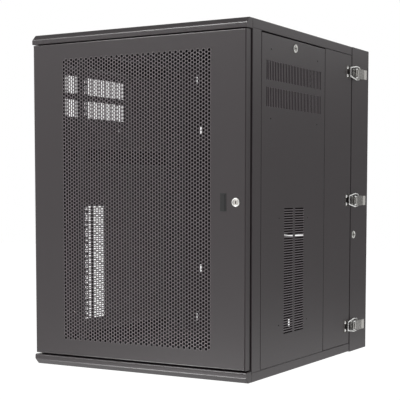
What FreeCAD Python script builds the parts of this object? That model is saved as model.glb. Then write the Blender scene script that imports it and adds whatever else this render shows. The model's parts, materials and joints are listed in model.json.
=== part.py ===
"""Swing-out wall mount network cabinet, 18 rack units.

The cabinet hangs on a wall: a shallow wall section is bolted to it, and the deep
body swings away from that section on two hinges at its left edge. Three draw
latches and a key lock on the right side hold the body closed.

Frame: +X right, +Y towards the wall, +Z up. The origin is the centre of the wall
bolt pattern on the back face, so the wall is the plane y = 0 and the door faces -Y.
All sizes are in millimetres.
"""
import FreeCAD, Part
import math
import os
import re
import Sketcher
from FreeCAD import Placement, Rotation, Vector

doc = FreeCAD.newDocument("wall_cabinet")

# ---------------------------------------------------------------- driving sizes
SIZES = [
    ("overall_width", 668, "outside width"),
    ("overall_height", 914, "outside height of the swinging body"),
    ("overall_depth", 810, "door face to wall"),
    ("wall_section_depth", 131, "front edge of the wall section to the wall"),
    ("wall_section_drop", 2, "how far the wall section hangs below the body"),
    ("seam_gap", 1.5, "gap between body and wall section"),
    ("sheet", 1.5, "sheet steel thickness"),
    ("back_sheet", 2, "back panel thickness"),
    ("flange", 12, "folded edge of a cover or panel"),
    ("panel_gap", 1.5, "gap before and behind a side panel"),
    ("panel_head_gap", 2.5, "gap over a side panel, for lifting it"),
    ("panel_seat", 0.3, "side panel over the rail it stands on"),
    ("door_thick", 25, "door depth"),
    ("door_side_gap", 3, "door edge to cabinet side"),
    ("door_top_gap", 2, "door edge to top trim"),
    ("door_low_gap", 8, "door edge to bottom trim"),
    ("door_back_gap", 5.5, "door to front frame"),
    ("door_round", 4, "rounded front edge of the door"),
    ("trim_tall", 27, "height of the trim bars above and below the door"),
    ("trim_bevel", 14, "bevel of the trim bars"),
    ("trim_turn", 1, "small bevel on a trim bar's edge beside the door"),
    ("post_wide", 48, "front post, along the side"),
    ("post_lip", 19, "front post, across the front"),
    ("frame_edge", 25, "height of the side rails over and under the panels"),
    ("strip_wide", 196, "fixed side strip behind each side panel"),
    ("ring_thick", 2.5, "rear frame plate"),
    ("ring_wide", 24, "rear frame plate, face width"),
    ("header_tall", 42, "front header and sill height"),
    ("unit_tall", 44.45, "one rack unit"),
    ("units", 18, "rack units"),
    ("rail_spacing", 465.1, "rack hole columns, centre to centre"),
    ("rail_opening", 450, "clear width between rails"),
    ("rail_face", 36, "rail face width"),
    ("rail_side", 30, "rail side flange"),
    ("rail_thick", 2, "rail sheet"),
    ("rail_end", 18, "rail past the first and last unit"),
    ("rail_setback", 106, "door face to front rails"),
    ("rail_depth", 508, "front rails to rear rails"),
    ("square_hole", 9.5, "square rack hole"),
    ("hole_first", 6.35, "first rack hole over the foot of its unit"),
    ("hole_step", 15.875, "rack hole to hole in a unit"),
    ("bracket_tall", 40, "depth bracket height"),
    ("bracket_mid", 110, "height of the middle brackets over the centre"),
    ("bracket_gap", 0.5, "depth bracket to the side panel's flange"),
    ("perf_pitch", 66.675, "door perforation, hole to hole in a column"),
    ("perf_flats", 46, "door perforation, hole across flats"),
    ("perf_columns", 4, "pairs of perforation columns"),
    ("perf_rows", 11, "holes in a column"),
    ("perf_rim", 8, "door perforation to the stiffeners"),
    ("stiffener_wide", 34, "door stiffener width"),
    ("stiffener_deep", 16, "door stiffener depth"),
    ("vent_near", 108, "door face to front end of the upper vents"),
    ("vent_long", 340, "upper vents, front to back"),
    ("vent_tall", 50, "upper vents, slot length"),
    ("vent_low", 244, "lower vent block over the centre"),
    ("vent_step", 68, "upper vent block to block"),
    ("vent_slots", 14, "slots in a block"),
    ("vent_slot", 15, "upper slot width"),
    ("louver_near", 216, "door face to front column of lower vents"),
    ("louver_long", 56, "lower slot length"),
    ("louver_step", 68, "lower column to column"),
    ("louver_top", 17, "top of the lower vents, under the centre"),
    ("louver_tall", 336, "height of the lower vents"),
    ("louver_slots", 14, "slots in a column"),
    ("louver_slot", 12, "lower slot height"),
    ("wall_bolt_wide", 406.4, "wall bolts, stud to stud"),
    ("wall_bolt_tall", 762, "wall bolts, top to bottom"),
    ("wall_bolt_hole", 11, "wall bolt hole"),
    ("tie_out", 278, "outer tie slots from the middle"),
    ("tie_drop", 57, "outer tie slots under the top and over the foot"),
    ("tie_in", 262, "inner tie slots from the middle"),
    ("tie_low", 232, "inner tie slots over and under the centre"),
    ("sill_slot_near", 30, "level slot, near end from the middle"),
    ("sill_slot_long", 110, "level slot length"),
    ("sill_slot_tall", 6, "level slot height"),
    ("sill_slot_low", 114, "level slot under the centre"),
    ("foot_slot_at", 69, "single low tie slot from the middle"),
    ("tie_slot_tall", 24, "tie slot length"),
    ("tie_slot_wide", 6, "tie slot width"),
    ("hinge_drop", 157, "hinges under the top and over the foot"),
    ("hinge_tall", 80, "hinge leaf height"),
    ("hinge_leaf", 36, "hinge leaf width"),
    ("hinge_thick", 2.5, "hinge leaf thickness"),
    ("hinge_barrel", 14, "hinge barrel diameter"),
    ("hinge_pin", 8, "hinge pin diameter"),
    ("knuckle_gap", 0.5, "gap between hinge knuckles"),
    ("fit", 0.05, "running clearance on a pin"),
    ("pivot_inset", 11, "door pivot from the door's edge"),
    ("pivot_pin", 8, "door pivot pin diameter"),
    ("pivot_reach", 18, "door pivot pin inside the door"),
    ("pivot_stand", 3, "door pivot pin past the trim sheet"),
    ("pivot_block", 22, "door pivot block height"),
    ("pivot_block_wide", 26, "door pivot block width"),
    ("lock_face", 25, "lock face diameter"),
    ("lock_rim", 3, "lock face thickness"),
    ("lock_barrel", 19, "lock barrel diameter"),
    ("lock_deep", 18, "lock barrel length"),
    ("door_lock_deep", 34, "door lock barrel length, past the frame's lip"),
    ("lock_plug", 13, "lock plug diameter"),
    ("cam_long", 32, "lock cam, axis to tip"),
    ("door_cam_long", 26, "door lock cam, axis to tip"),
    ("wall_cam_long", 20, "wall section lock cam, axis to tip"),
    ("cam_wide", 15, "lock cam width"),
    ("cam_thick", 2.5, "lock cam thickness"),
    ("cam_taper", 2, "lock cam, narrower at each side of its tip"),
    ("stem_wide", 8, "lock plug's square stem"),
    ("stem_past", 4, "lock plug's stem past the cam"),
    ("lock_sunk", 0.6, "lock plug under the lock's rim"),
    ("key_wide", 1.8, "key slot width"),
    ("key_tall", 8, "key slot height"),
    ("key_deep", 6, "key slot depth"),
    ("keeper_over", 8, "keeper over the cam's tip"),
    ("keeper_wide", 12, "keeper width"),
    ("keeper_foot", 14, "keeper's foot on the rear frame"),
    ("keeper_in_gap", 2, "keeper inside the rear frame's inner edge"),
    ("cam_gap", 1.5, "cam to the keeper's lip"),
    ("door_lock_inset", 30, "door lock from the cabinet's right side"),
    ("panel_lock_drop", 49, "side panel lock under the top"),
    ("wall_lock_low", 103, "wall section lock under the centre"),
    ("wall_lock_in", 21, "wall section lock behind its front edge"),
    ("latch_drop", 78, "outer latches under the top and over the foot"),
    ("latch_pin_out", 9, "lever pivot from the cabinet side"),
    ("latch_pin_in", 12, "lever pivot behind the wall section's edge"),
    ("latch_throw", 25, "lever pivot to bail pivot"),
    ("bail_out", 7.6, "bail wire from the cabinet side"),
    ("bail_wire", 3.5, "bail wire diameter"),
    ("bail_long", 69, "bail length"),
    ("bail_root", 37.7, "bail width at its pivot, outside the lever"),
    ("bail_bend", 20, "bail pivot to the bail's widest place"),
    ("bail_nose", 28, "bail width at its front"),
    ("bail_short", 0.2, "bail end inside the lever's cheek"),
    ("hook_gap", 0.35, "bail to the strike's hook"),
    ("bail_wide", 42, "bail width at its widest place"),
    ("lever_wide", 30, "lever width"),
    ("lever_rise", 6.5, "lever pivot to the top of the lever"),
    ("lever_pin", 4, "lever pivot pin diameter"),
    ("ear_half", 4, "half the width of a latch base's ear"),
    ("ear_gap", 0.4, "ear to the lever's cheek"),
    ("lever_long", 58, "lever pivot to end"),
    ("lever_nose", 3, "lever's opening in front of its pivot"),
    ("lip_long", 14, "lever's upturned finger lip"),
    ("lip_rise", 3.5, "finger lip over the lever"),
    ("lip_blunt", 2, "finger lip's blunt end"),
    ("cheek_past", 6, "lever's cheeks past the bail's seat"),
    ("base_inset", 3, "latch base from the wall section's edge"),
    ("base_short", 8, "latch base shorter than the lever"),
    ("strike_tall", 39, "strike plate height"),
    ("strike_long", 24, "strike plate length"),
    ("strike_screws", 23, "strike screws, centre to centre"),
    ("screw_head", 8, "screw head diameter"),
    ("screw_rise", 2, "screw head height"),
    ("past", 1, "how far a cutting outline runs past the sheet"),
]

sheet = doc.addObject("Spreadsheet::Sheet", "Sizes")
for line, (alias, value, note) in enumerate(SIZES, start=1):
    sheet.set(f"A{line}", note)
    sheet.set(f"B{line}", str(value))
    sheet.setAlias(f"B{line}", alias)
doc.recompute()

# --------------------------------------------------- places worked out from them
PLACES = {
    "half_width": "overall_width / 2",
    "half_height": "overall_height / 2",
    "door_front": "-overall_depth",
    "door_back": "door_front + door_thick",
    "body_front": "door_back + door_back_gap",
    "wall_front": "-wall_section_depth",
    "body_back": "wall_front - seam_gap",
    "ring_front": "body_back - ring_thick",
    "skin_in": "half_width - sheet",
    "door_right": "half_width - door_side_gap",
    "door_top": "half_height - trim_tall - door_top_gap",
    "door_low": "-half_height + trim_tall + door_low_gap",
    "post_back": "body_front + post_wide",
    "edge_top": "half_height - frame_edge",
    "panel_top": "edge_top - panel_head_gap",
    "panel_low": "-edge_top + panel_seat",
    "strip_front": "ring_front - strip_wide",
    "panel_front": "post_back + panel_gap",
    "panel_back": "strip_front - panel_gap",
    "rail_half": "rail_opening / 2",
    "rail_out": "rail_half + rail_face",
    "rail_top": "units * unit_tall / 2 + rail_end",
    "front_rail": "door_front + rail_setback",
    "rear_rail": "front_rail + rail_depth",
    "hinge_x": "-half_width - hinge_barrel / 2",
    "hinge_y": "wall_front - seam_gap / 2",
    "hinge_height": "half_height - hinge_drop",
    "tie_high": "half_height - tie_drop",
    "pivot_x": "-door_right + pivot_inset",
    "pivot_y": "door_front + door_thick / 2",
    "door_lock_x": "half_width - door_lock_inset",
    "vent_mid": "door_front + vent_near + vent_long / 2",
    "lever_y": "wall_front + latch_pin_in",
    "lever_x": "half_width + latch_pin_out",
    "bail_x": "half_width + bail_out",
    "bail_y": "lever_y + latch_throw",
    "bail_front": "bail_y - bail_long",
    "strike_back": "bail_front + bail_wire / 2 + sheet / 2",
    "strike_front": "strike_back - strike_long",
    "ear_out": "lever_wide / 2 - sheet - ear_gap",
    "latch_height": "half_height - latch_drop",
    "perf_column": "perf_pitch * cos(30)",
    "perf_edge": "perf_columns * perf_column + perf_rim",
    "keeper_in": "half_width - ring_wide - keeper_in_gap",
    # corner over side of an eight-sided round
    "eight": "1 / cos(180 / 8)",
}
ALIASES = {alias for alias, value, note in SIZES}
WORD = re.compile(r"[a-z_]+")


def ex(text):
    """Write a short formula out in full, in terms of the spreadsheet's cells."""
    def spell(found):
        word = found.group(0)
        if word in PLACES:
            return "(" + ex(PLACES[word]) + ")"
        return "Sizes." + word if word in ALIASES else word
    return WORD.sub(spell, str(text))


# ---------------------------------------------------------------- ways of making
PLANES = {"x": "YZ_Plane", "y": "XZ_Plane", "z": "XY_Plane"}
PARTS = {}


def body(name):
    """A new part body."""
    made = doc.addObject("PartDesign::Body", name)
    made.Label = name
    return made


def sketch(owner, along, level):
    """An empty sketch square to one axis of the body, at a level on that axis."""
    made = owner.newObject("Sketcher::SketchObject", "outline")
    role = PLANES[along]
    plane = [item for item in owner.Origin.OriginFeatures if item.Role == role][0]
    made.AttachmentSupport = [(plane, "")]
    made.MapMode = "FlatFace"
    # the XZ plane faces -Y, so its offset counts backwards
    sign = "-1 * " if along == "y" else ""
    made.setExpression("AttachmentOffset.Base.z", ex(f"{sign}({level})"))
    return made


def pin_down(made, geometry, point, place):
    """Fix a sketch point at a place given by two formulas."""
    for kind, formula in zip(("DistanceX", "DistanceY"), place):
        index = made.addConstraint(Sketcher.Constraint(kind, -1, 1, geometry, point, 1.0))
        made.setExpression(f"Constraints[{index}]", ex(formula))


def ring_of(count, radius, start=0.0):
    """Points spaced evenly round a circle."""
    turns = [2 * math.pi * (k + start) / count for k in range(count)]
    return [Vector(radius * math.cos(turn), radius * math.sin(turn), 0) for turn in turns]


# lines are drawn this far out at first, before their constraints move them
ROUGH = 100


def outline(made, points):
    """Add a closed outline through points given as pairs of formulas."""
    first = made.GeometryCount
    count = len(points)
    ring = ring_of(count, ROUGH)
    for k in range(count):
        made.addGeometry(Part.LineSegment(ring[k], ring[(k + 1) % count]))
    for k in range(count):
        after = first + (k + 1) % count
        made.addConstraint(Sketcher.Constraint("Coincident", first + k, 2, after, 1))
        pin_down(made, first + k, 1, points[k])
    return made


def circle(made, centre, radius):
    """Add a circle with its centre and radius given by formulas."""
    index = made.addGeometry(Part.Circle(Vector(), Vector(0, 0, 1), 5))
    pin_down(made, index, 3, centre)
    rule = made.addConstraint(Sketcher.Constraint("Radius", index, 5.0))
    made.setExpression(f"Constraints[{rule}]", ex(radius))
    return made


def rectangle(low, high):
    """Corner points of a rectangle."""
    (a, b), (c, d) = low, high
    return [(a, b), (c, b), (c, d), (a, d)]


def pad(owner, along, low, high, draw):
    """Raise a profile between two levels on an axis; draw fills in the sketch."""
    base = high if along == "y" else low
    profile = draw(sketch(owner, along, base))
    made = owner.newObject("PartDesign::Pad", "pad")
    made.Profile = profile
    made.setExpression("Length", ex(f"({high}) - ({low})"))
    profile.Visibility = False
    owner.Tip = made
    return made


def cut(owner, along, low, high, draw):
    """Cut a profile away between two levels on an axis."""
    base = low if along == "y" else high
    profile = draw(sketch(owner, along, base))
    made = owner.newObject("PartDesign::Pocket", "cut")
    made.Profile = profile
    made.setExpression("Length", ex(f"({high}) - ({low})"))
    owner.Tip = made
    return made


def poly(points):
    """A drawing step that adds one closed outline."""
    return lambda made: outline(made, points)


def rect(low, high):
    """A drawing step that adds one rectangle."""
    return poly(rectangle(low, high))


def disc(centre, radius):
    """A drawing step that adds one circle."""
    return lambda made: circle(made, centre, radius)


def repeat(owner, feature, axis, step, count, second=None):
    """Repeat a feature along a sketch axis, and along a second one if it is given."""
    made = owner.newObject("PartDesign::LinearPattern", "repeat")
    made.Originals = [feature]
    profile = feature.Profile[0]
    made.Direction = (profile, [axis])
    made.Mode = "Spacing"
    made.setExpression("Offset", ex(step))
    made.setExpression("Occurrences", ex(count))
    if second:
        axis, step, count = second
        made.Direction2 = (profile, [axis])
        made.Mode2 = "Spacing"
        # -1 stands for the common offset; the list's own first value is 0
        made.Spacings2 = [-1.0]
        made.setExpression("Offset2", ex(step))
        made.setExpression("Occurrences2", ex(count))
    owner.Tip = made
    return made


def place(owner, x, y, z, turn=None):
    """Stand a body at a place given by formulas, turned if asked."""
    if turn:
        owner.Placement = Placement(Vector(), turn)
    for axis, formula in zip("xyz", (x, y, z)):
        owner.setExpression(f"Placement.Base.{axis}", ex(formula))
    return owner


def keep(name, made):
    """Hand a finished piece over to be written out."""
    made.Label = name
    PARTS[name] = made
    return made


def group(name, pieces):
    """Keep several like solids as one node."""
    made = doc.addObject("Part::Compound", name)
    made.Links = pieces
    return keep(name, made)


def sided(centre, reach, count):
    """A drawing step that adds a small round with flat sides; reach is to a corner."""
    x, z = centre
    return poly([(f"({x}) + ({reach}) * {spot.x:.6f}", f"({z}) + ({reach}) * {spot.y:.6f}")
                 for spot in ring_of(count, 1, 0.5)])


def octagon(centre, radius):
    """A drawing step that adds an eight-sided round; radius is to a side."""
    return sided(centre, f"({radius}) * eight", 8)


def mirror_x(points, side):
    """The same profile on the right (side 1) or the left (side -1)."""
    return [(f"{side} * ({x})", y) for x, y in points]


SIDES = (("left", -1), ("right", 1))


# -------------------------------------------------------------- the wall section
def back_panel():
    """Flat back with the wall bolt holes and tie slots."""
    panel = body("back_panel")
    low = ("-half_width", "-half_height - wall_section_drop")
    pad(panel, "y", "-back_sheet", "0", rect(low, ("half_width", "half_height")))
    half_bolt = "wall_bolt_wide / 2"
    hole = cut(panel, "y", "-back_sheet - past", "past",
               disc((f"-{half_bolt}", "-wall_bolt_tall / 2"), "wall_bolt_hole / 2"))
    repeat(panel, hole, "H_Axis", "wall_bolt_wide", "2", ("V_Axis", "wall_bolt_tall", "2"))
    for x, z in (("tie_out", "tie_high"), ("tie_in", "tie_low")):
        slot = cut(panel, "y", "-back_sheet - past", "past",
                   rect((f"-{x} - tie_slot_wide / 2", f"-{z} - tie_slot_tall / 2"),
                        (f"-{x} + tie_slot_wide / 2", f"-{z} + tie_slot_tall / 2")))
        repeat(panel, slot, "H_Axis", f"2 * {x}", "2", ("V_Axis", f"2 * {z}", "2"))
    cut(panel, "y", "-back_sheet - past", "past",
        rect(("sill_slot_near", "-sill_slot_low - sill_slot_tall / 2"),
             ("sill_slot_near + sill_slot_long", "-sill_slot_low + sill_slot_tall / 2")))
    cut(panel, "y", "-back_sheet - past", "past",
        rect(("foot_slot_at - tie_slot_wide / 2", "-tie_high - tie_slot_tall / 2"),
             ("foot_slot_at + tie_slot_wide / 2", "-tie_high + tie_slot_tall / 2")))
    keep("back_panel", panel)


def channel(front, back, outer, web, lip):
    """Points of a C section lying between two y levels, its web at the outside."""
    inner = f"{outer} - {web}"
    return [(outer, front), (outer, back), (f"{outer} - {lip}", back),
            (f"{outer} - {lip}", f"{back} - {web}"), (inner, f"{back} - {web}"),
            (inner, f"{front} + {web}"), (f"{outer} - {lip}", f"{front} + {web}"),
            (f"{outer} - {lip}", front)]


def wall_sides():
    """Upright channels at the two sides of the wall section."""
    section = channel("wall_front", "-back_sheet", "half_width", "sheet", "flange")
    for name, side in SIDES:
        wall = body(f"wall_{name}_side")
        pad(wall, "z", "-half_height - wall_section_drop + sheet", "half_height - sheet",
            poly(mirror_x(section, side)))
        if side > 0:
            centre = ("wall_front + wall_lock_in", "-wall_lock_low")
            cut(wall, "x", "skin_in - past", "half_width + past",
                octagon(centre, "lock_barrel / 2 + fit"))
        keep(f"wall_{name}_side", wall)


def wall_ends():
    """Level channels at the top and bottom; their webs cap the side channels."""
    reach = "half_width - flange"
    for name, side, level in (("top", 1, "half_height"),
                              ("bottom", -1, "half_height + wall_section_drop")):
        section = channel("wall_front", "-back_sheet", level, "sheet", "flange")
        points = [(y, f"{side} * ({z})") for z, y in section]
        wall = body(f"wall_{name}")
        pad(wall, "x", f"-({reach})", reach, poly(points))
        edges = [f"{side} * ({level} - sheet)", f"{side} * ({level})"]
        low, high = edges[::side]
        pad(wall, "z", low, high,
            rect(("-half_width", "wall_front"), ("half_width", "-back_sheet")))
        keep(f"wall_{name}", wall)


def hinges():
    """Two lift-off hinges on the left side: the body's knuckle sits on the wall's."""
    leaves = {"wall": [], "body": []}
    pins = []
    for name, level in (("top", "hinge_height"), ("low", "-hinge_height")):
        low, high = f"{level} - hinge_tall / 2", f"{level} + hinge_tall / 2"
        knuckles = {"wall": (low, f"{level} - knuckle_gap / 2"),
                    "body": (f"{level} + knuckle_gap / 2", high)}
        for owner, way in (("wall", 1), ("body", -1)):
            leaf = body(f"hinge_{owner}_{name}")
            near = f"hinge_y + {way} * (hinge_barrel / 2 + knuckle_gap)"
            far = f"hinge_y + {way} * hinge_leaf"
            pad(leaf, "z", low, high,
                rect(("-half_width - hinge_thick", near), ("-half_width", far)))
            base, top = knuckles[owner]
            pad(leaf, "z", base, top,
                rect(("-half_width - hinge_thick", "hinge_y"), ("-half_width", near)))
            pad(leaf, "z", base, top, disc(("hinge_x", "hinge_y"), "hinge_barrel / 2"))
            cut(leaf, "z", f"{low} - past", f"{high} + past",
                disc(("hinge_x", "hinge_y"), "hinge_pin / 2 + fit"))
            leaves[owner].append(leaf)
        pin = body(f"hinge_pin_{name}")
        pad(pin, "z", low, high, disc(("hinge_x", "hinge_y"), "hinge_pin / 2"))
        pins.append(pin)
    group("hinge_wall_leaves", leaves["wall"])
    group("hinge_body_leaves", leaves["body"])
    group("hinge_pins", pins)


# -------------------------------------------------------------- the swinging body
def covers():
    """Top and bottom covers: a flat sheet whose sides fold down and round a lip."""
    lip = "skin_in - flange"
    half = [("half_width", "half_height"), ("half_width", "edge_top"),
            (lip, "edge_top"), (lip, "edge_top + flange"),
            (f"{lip} + sheet", "edge_top + flange"), (f"{lip} + sheet", "edge_top + sheet"),
            ("skin_in", "edge_top + sheet"), ("skin_in", "half_height - sheet")]
    whole = half + [(f"-1 * ({x})", z) for x, z in reversed(half)]
    for name, side in (("top_cover", 1), ("bottom_cover", -1)):
        cover = body(name)
        pad(cover, "y", "body_front", "ring_front",
            poly([(x, f"{side} * ({z})") for x, z in whole]))
        keep(name, cover)


def trims():
    """Bevelled bars over and under the door, open at the back."""
    for name, side in (("top_trim", 1), ("bottom_trim", -1)):
        profile = [("body_front", "half_height"), ("door_front + trim_bevel", "half_height"),
                   ("door_front", "half_height - trim_bevel"),
                   ("door_front", "half_height - trim_tall + trim_turn"),
                   ("door_front + trim_turn", "half_height - trim_tall"),
                   ("body_front", "half_height - trim_tall")]
        trim = body(name)
        solid = pad(trim, "x", "-half_width", "half_width",
                    poly([(y, f"{side} * ({z})") for y, z in profile]))
        doc.recompute()
        backs = [f"Face{k + 1}" for k, face in enumerate(solid.Shape.Faces)
                 if abs(face.normalAt(0, 0).y - 1) < 1e-6]
        shell = trim.newObject("PartDesign::Thickness", "shell")
        shell.Base = (solid, backs)
        shell.setExpression("Value", ex("sheet"))
        shell.Reversed = True
        trim.Tip = shell
        pair = ("half_height - trim_tall - past", "half_height - trim_tall + sheet + past")
        low, high = pair if side > 0 else (f"-({pair[1]})", f"-({pair[0]})")
        cut(trim, "z", low, high, disc(("pivot_x", "pivot_y"), "pivot_pin / 2 + fit"))
        keep(name, trim)


def front_frame():
    """Two C section posts, a header and a sill round the door opening."""
    for name, side in SIDES:
        lip = "post_lip"
        points = [("half_width", "body_front"), ("half_width", "post_back"),
                  (f"half_width - {lip}", "post_back"), (f"half_width - {lip}", "post_back - sheet"),
                  ("skin_in", "post_back - sheet"), ("skin_in", "body_front + sheet"),
                  (f"half_width - {lip}", "body_front + sheet"),
                  (f"half_width - {lip}", "body_front")]
        post = body(f"{name}_front_post")
        pad(post, "z", "-edge_top", "edge_top", poly(mirror_x(points, side)))
        keep(f"{name}_front_post", post)
    for name, side in (("front_header", 1), ("front_sill", -1)):
        top, low = "half_height - sheet", "half_height - header_tall"
        points = [("body_front", top), ("body_front", low), ("body_front + flange", low),
                  ("body_front + flange", f"{low} + sheet"), ("body_front + sheet", f"{low} + sheet"),
                  ("body_front + sheet", f"{top} - sheet"), ("body_front + flange", f"{top} - sheet"),
                  ("body_front + flange", top)]
        bar = body(name)
        reach = "half_width - post_lip"
        pad(bar, "x", f"-({reach})", reach, poly([(y, f"{side} * ({z})") for y, z in points]))
        keep(name, bar)


def side_strips():
    """Fixed side sheets between the side panels and the rear frame."""
    section = channel("strip_front", "ring_front", "half_width", "sheet", "flange")
    for name, side in SIDES:
        strip = body(f"{name}_side_strip")
        pad(strip, "z", "-edge_top", "edge_top", poly(mirror_x(section, side)))
        keep(f"{name}_side_strip", strip)


def rear_frame():
    """Flat welded ring that closes the body's back edge."""
    ring = body("rear_frame")

    def draw(made):
        outline(made, rectangle(("-half_width", "-half_height"), ("half_width", "half_height")))
        return outline(made, rectangle(("-half_width + ring_wide", "-half_height + ring_wide"),
                                       ("half_width - ring_wide", "half_height - ring_wide")))
    pad(ring, "y", "ring_front", "body_back", draw)
    keep("rear_frame", ring)


def rack_rails():
    """Four angle rails with three square holes to every rack unit."""
    for end, face, way in (("front", "front_rail", 1), ("rear", "rear_rail", -1)):
        for name, side in SIDES:
            rail = body(f"rack_rail_{end}_{name}")
            face_in = f"{face} + {way} * rail_thick"
            points = [("rail_half", face), ("rail_out", face),
                      ("rail_out", f"{face} + {way} * rail_side"),
                      ("rail_out - rail_thick", f"{face} + {way} * rail_side"),
                      ("rail_out - rail_thick", face_in), ("rail_half", face_in)]
            pad(rail, "z", "-rail_top", "rail_top", poly(mirror_x(points, side)))
            base = "-units * unit_tall / 2"
            for k in range(3):
                middle = f"{base} + hole_first + {k} * hole_step"
                low = (f"{side} * rail_spacing / 2 - square_hole / 2", f"{middle} - square_hole / 2")
                high = (f"{side} * rail_spacing / 2 + square_hole / 2", f"{middle} + square_hole / 2")
                hole = cut(rail, "y", f"{face} - rail_thick - past", f"{face} + rail_thick + past",
                           rect(low, high))
                repeat(rail, hole, "V_Axis", "unit_tall", "units")
            keep(f"rack_rail_{end}_{name}", rail)


def depth_brackets():
    """Angle brackets, front to back, that carry the rails at three heights."""
    levels = ("rail_top - bracket_tall", "bracket_mid", "-rail_top")
    edge = "skin_in - flange - bracket_gap"
    for name, side in SIDES:
        pieces = []
        for k, level in enumerate(levels):
            points = [("rail_out", level), (edge, level), (edge, f"{level} + sheet"),
                      ("rail_out + sheet", f"{level} + sheet"),
                      ("rail_out + sheet", f"{level} + bracket_tall"),
                      ("rail_out", f"{level} + bracket_tall")]
            bracket = body(f"bracket_{name}_{k}")
            pad(bracket, "y", "post_back", "ring_front", poly(mirror_x(points, side)))
            pieces.append(bracket)
        group(f"{name}_depth_brackets", pieces)


# ---------------------------------------------------------------- the side panels
def side_panels():
    """Lift-off vented panels with folded edges."""
    for name, side in SIDES:
        panel = body(f"{name}_side_panel")
        section = channel("panel_front", "panel_back", "half_width", "sheet", "flange")
        pad(panel, "z", "panel_low", "panel_top", poly(mirror_x(section, side)))
        low, high = ("skin_in - past", "half_width + past")
        if side < 0:
            low, high = ("-half_width - past", "-skin_in + past")
        step = "(vent_long - vent_slot) / (vent_slots - 1)"
        start = "door_front + vent_near"
        slot = cut(panel, "x", low, high,
                   rect((start, "vent_low"), (f"{start} + vent_slot", "vent_low + vent_tall")))
        repeat(panel, slot, "H_Axis", step, "vent_slots", ("V_Axis", "vent_step", "2"))
        step = "(louver_tall - louver_slot) / (louver_slots - 1)"
        start = "door_front + louver_near"
        floor = "-louver_top - louver_tall"
        slot = cut(panel, "x", low, high,
                   rect((start, floor), (f"{start} + louver_long", f"{floor} + louver_slot")))
        repeat(panel, slot, "V_Axis", step, "louver_slots", ("H_Axis", "louver_step", "2"))
        cut(panel, "x", low, high,
            octagon(("vent_mid", "half_height - panel_lock_drop"), "lock_barrel / 2 + fit"))
        keep(f"{name}_side_panel", panel)


# ----------------------------------------------------------------------- the door
def door_skin():
    """Perforated steel pan, its four edges folded back."""
    skin = body("door_skin")
    solid = pad(skin, "y", "door_front", "door_back",
                rect(("-door_right", "door_low"), ("door_right", "door_top")))
    doc.recompute()
    fronts = []
    for k, edge in enumerate(solid.Shape.Edges):
        box = edge.BoundBox
        if box.YMax < solid.Shape.BoundBox.YMin + 1e-6:
            fronts.append(f"Edge{k + 1}")
    rounds = skin.newObject("PartDesign::Fillet", "rounds")
    rounds.Base = (solid, fronts)
    rounds.setExpression("Radius", ex("door_round"))
    skin.Tip = rounds
    doc.recompute()
    backs = [f"Face{k + 1}" for k, face in enumerate(rounds.Shape.Faces)
             if abs(face.BoundBox.YMin - rounds.Shape.BoundBox.YMax) < 1e-6]
    shell = skin.newObject("PartDesign::Thickness", "shell")
    shell.Base = (rounds, backs)
    shell.setExpression("Value", ex("sheet"))
    shell.Reversed = True
    skin.Tip = shell
    left = "-(2 * perf_columns - 1) / 2 * perf_column"
    low = "(door_top + door_low) / 2 - (perf_rows - 0.5) / 2 * perf_pitch"

    def hexagon(made, x, z):
        half, reach = "perf_flats / 2", "perf_flats / sqrt(3)"
        return outline(made, [(f"{x} + {reach}", z), (f"{x} + {reach} / 2", f"{z} + {half}"),
                              (f"{x} - {reach} / 2", f"{z} + {half}"), (f"{x} - {reach}", z),
                              (f"{x} - {reach} / 2", f"{z} - {half}"),
                              (f"{x} + {reach} / 2", f"{z} - {half}")])

    def draw(made):
        hexagon(made, left, low)
        return hexagon(made, f"{left} + perf_column", f"{low} + perf_pitch / 2")
    hole = cut(skin, "y", "door_front - past", "door_front + sheet + past", draw)
    repeat(skin, hole, "H_Axis", "2 * perf_column", "perf_columns",
           ("V_Axis", "perf_pitch", "perf_rows"))
    cut(skin, "y", "door_front - past", "door_front + sheet + past",
        octagon(("door_lock_x", "0"), "lock_barrel / 2 + fit"))
    cut(skin, "z", "door_low - past", "door_top + past",
        disc(("pivot_x", "pivot_y"), "pivot_pin / 2 + fit"))
    keep("door_skin", skin)


def door_inside():
    """Upright stiffeners beside the perforation and the pivot blocks."""
    for name, side in SIDES:
        hat = body(f"door_{name}_stiffener")
        inner, outer = "perf_edge", "perf_edge + stiffener_wide"
        front, back = "door_front + sheet", "door_front + sheet + stiffener_deep"
        points = [(inner, front), (f"{inner} + sheet", front),
                  (f"{inner} + sheet", f"{back} - sheet"), (f"{outer} - sheet", f"{back} - sheet"),
                  (f"{outer} - sheet", front), (outer, front), (outer, back), (inner, back)]
        pad(hat, "z", "door_low + door_round", "door_top - door_round", poly(mirror_x(points, side)))
        keep(f"door_{name}_stiffener", hat)
    blocks = []
    for name, low, high in (("top", "door_top - sheet - pivot_block", "door_top - sheet"),
                            ("low", "door_low + sheet", "door_low + sheet + pivot_block")):
        block = body(f"pivot_block_{name}")
        pad(block, "z", low, high,
            rect(("-door_right + sheet", "door_front + door_round"),
                 ("-door_right + sheet + pivot_block_wide", "door_back")))
        cut(block, "z", f"{low} - past", f"{high} + past",
            disc(("pivot_x", "pivot_y"), "pivot_pin / 2 + fit"))
        blocks.append(block)
    group("door_pivot_blocks", blocks)
    pins = []
    for name, side, door_edge in (("top", 1, "door_top"), ("low", -1, "-1 * (door_low)")):
        ends = [f"{side} * ({door_edge} - pivot_reach)",
                f"{side} * (half_height - trim_tall + sheet + pivot_stand)"]
        low, high = ends[::side]
        pin = body(f"pivot_pin_{name}")
        pad(pin, "z", low, high, disc(("pivot_x", "pivot_y"), "pivot_pin / 2"))
        pins.append(pin)
    group("door_pivot_pins", pins)


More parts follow.
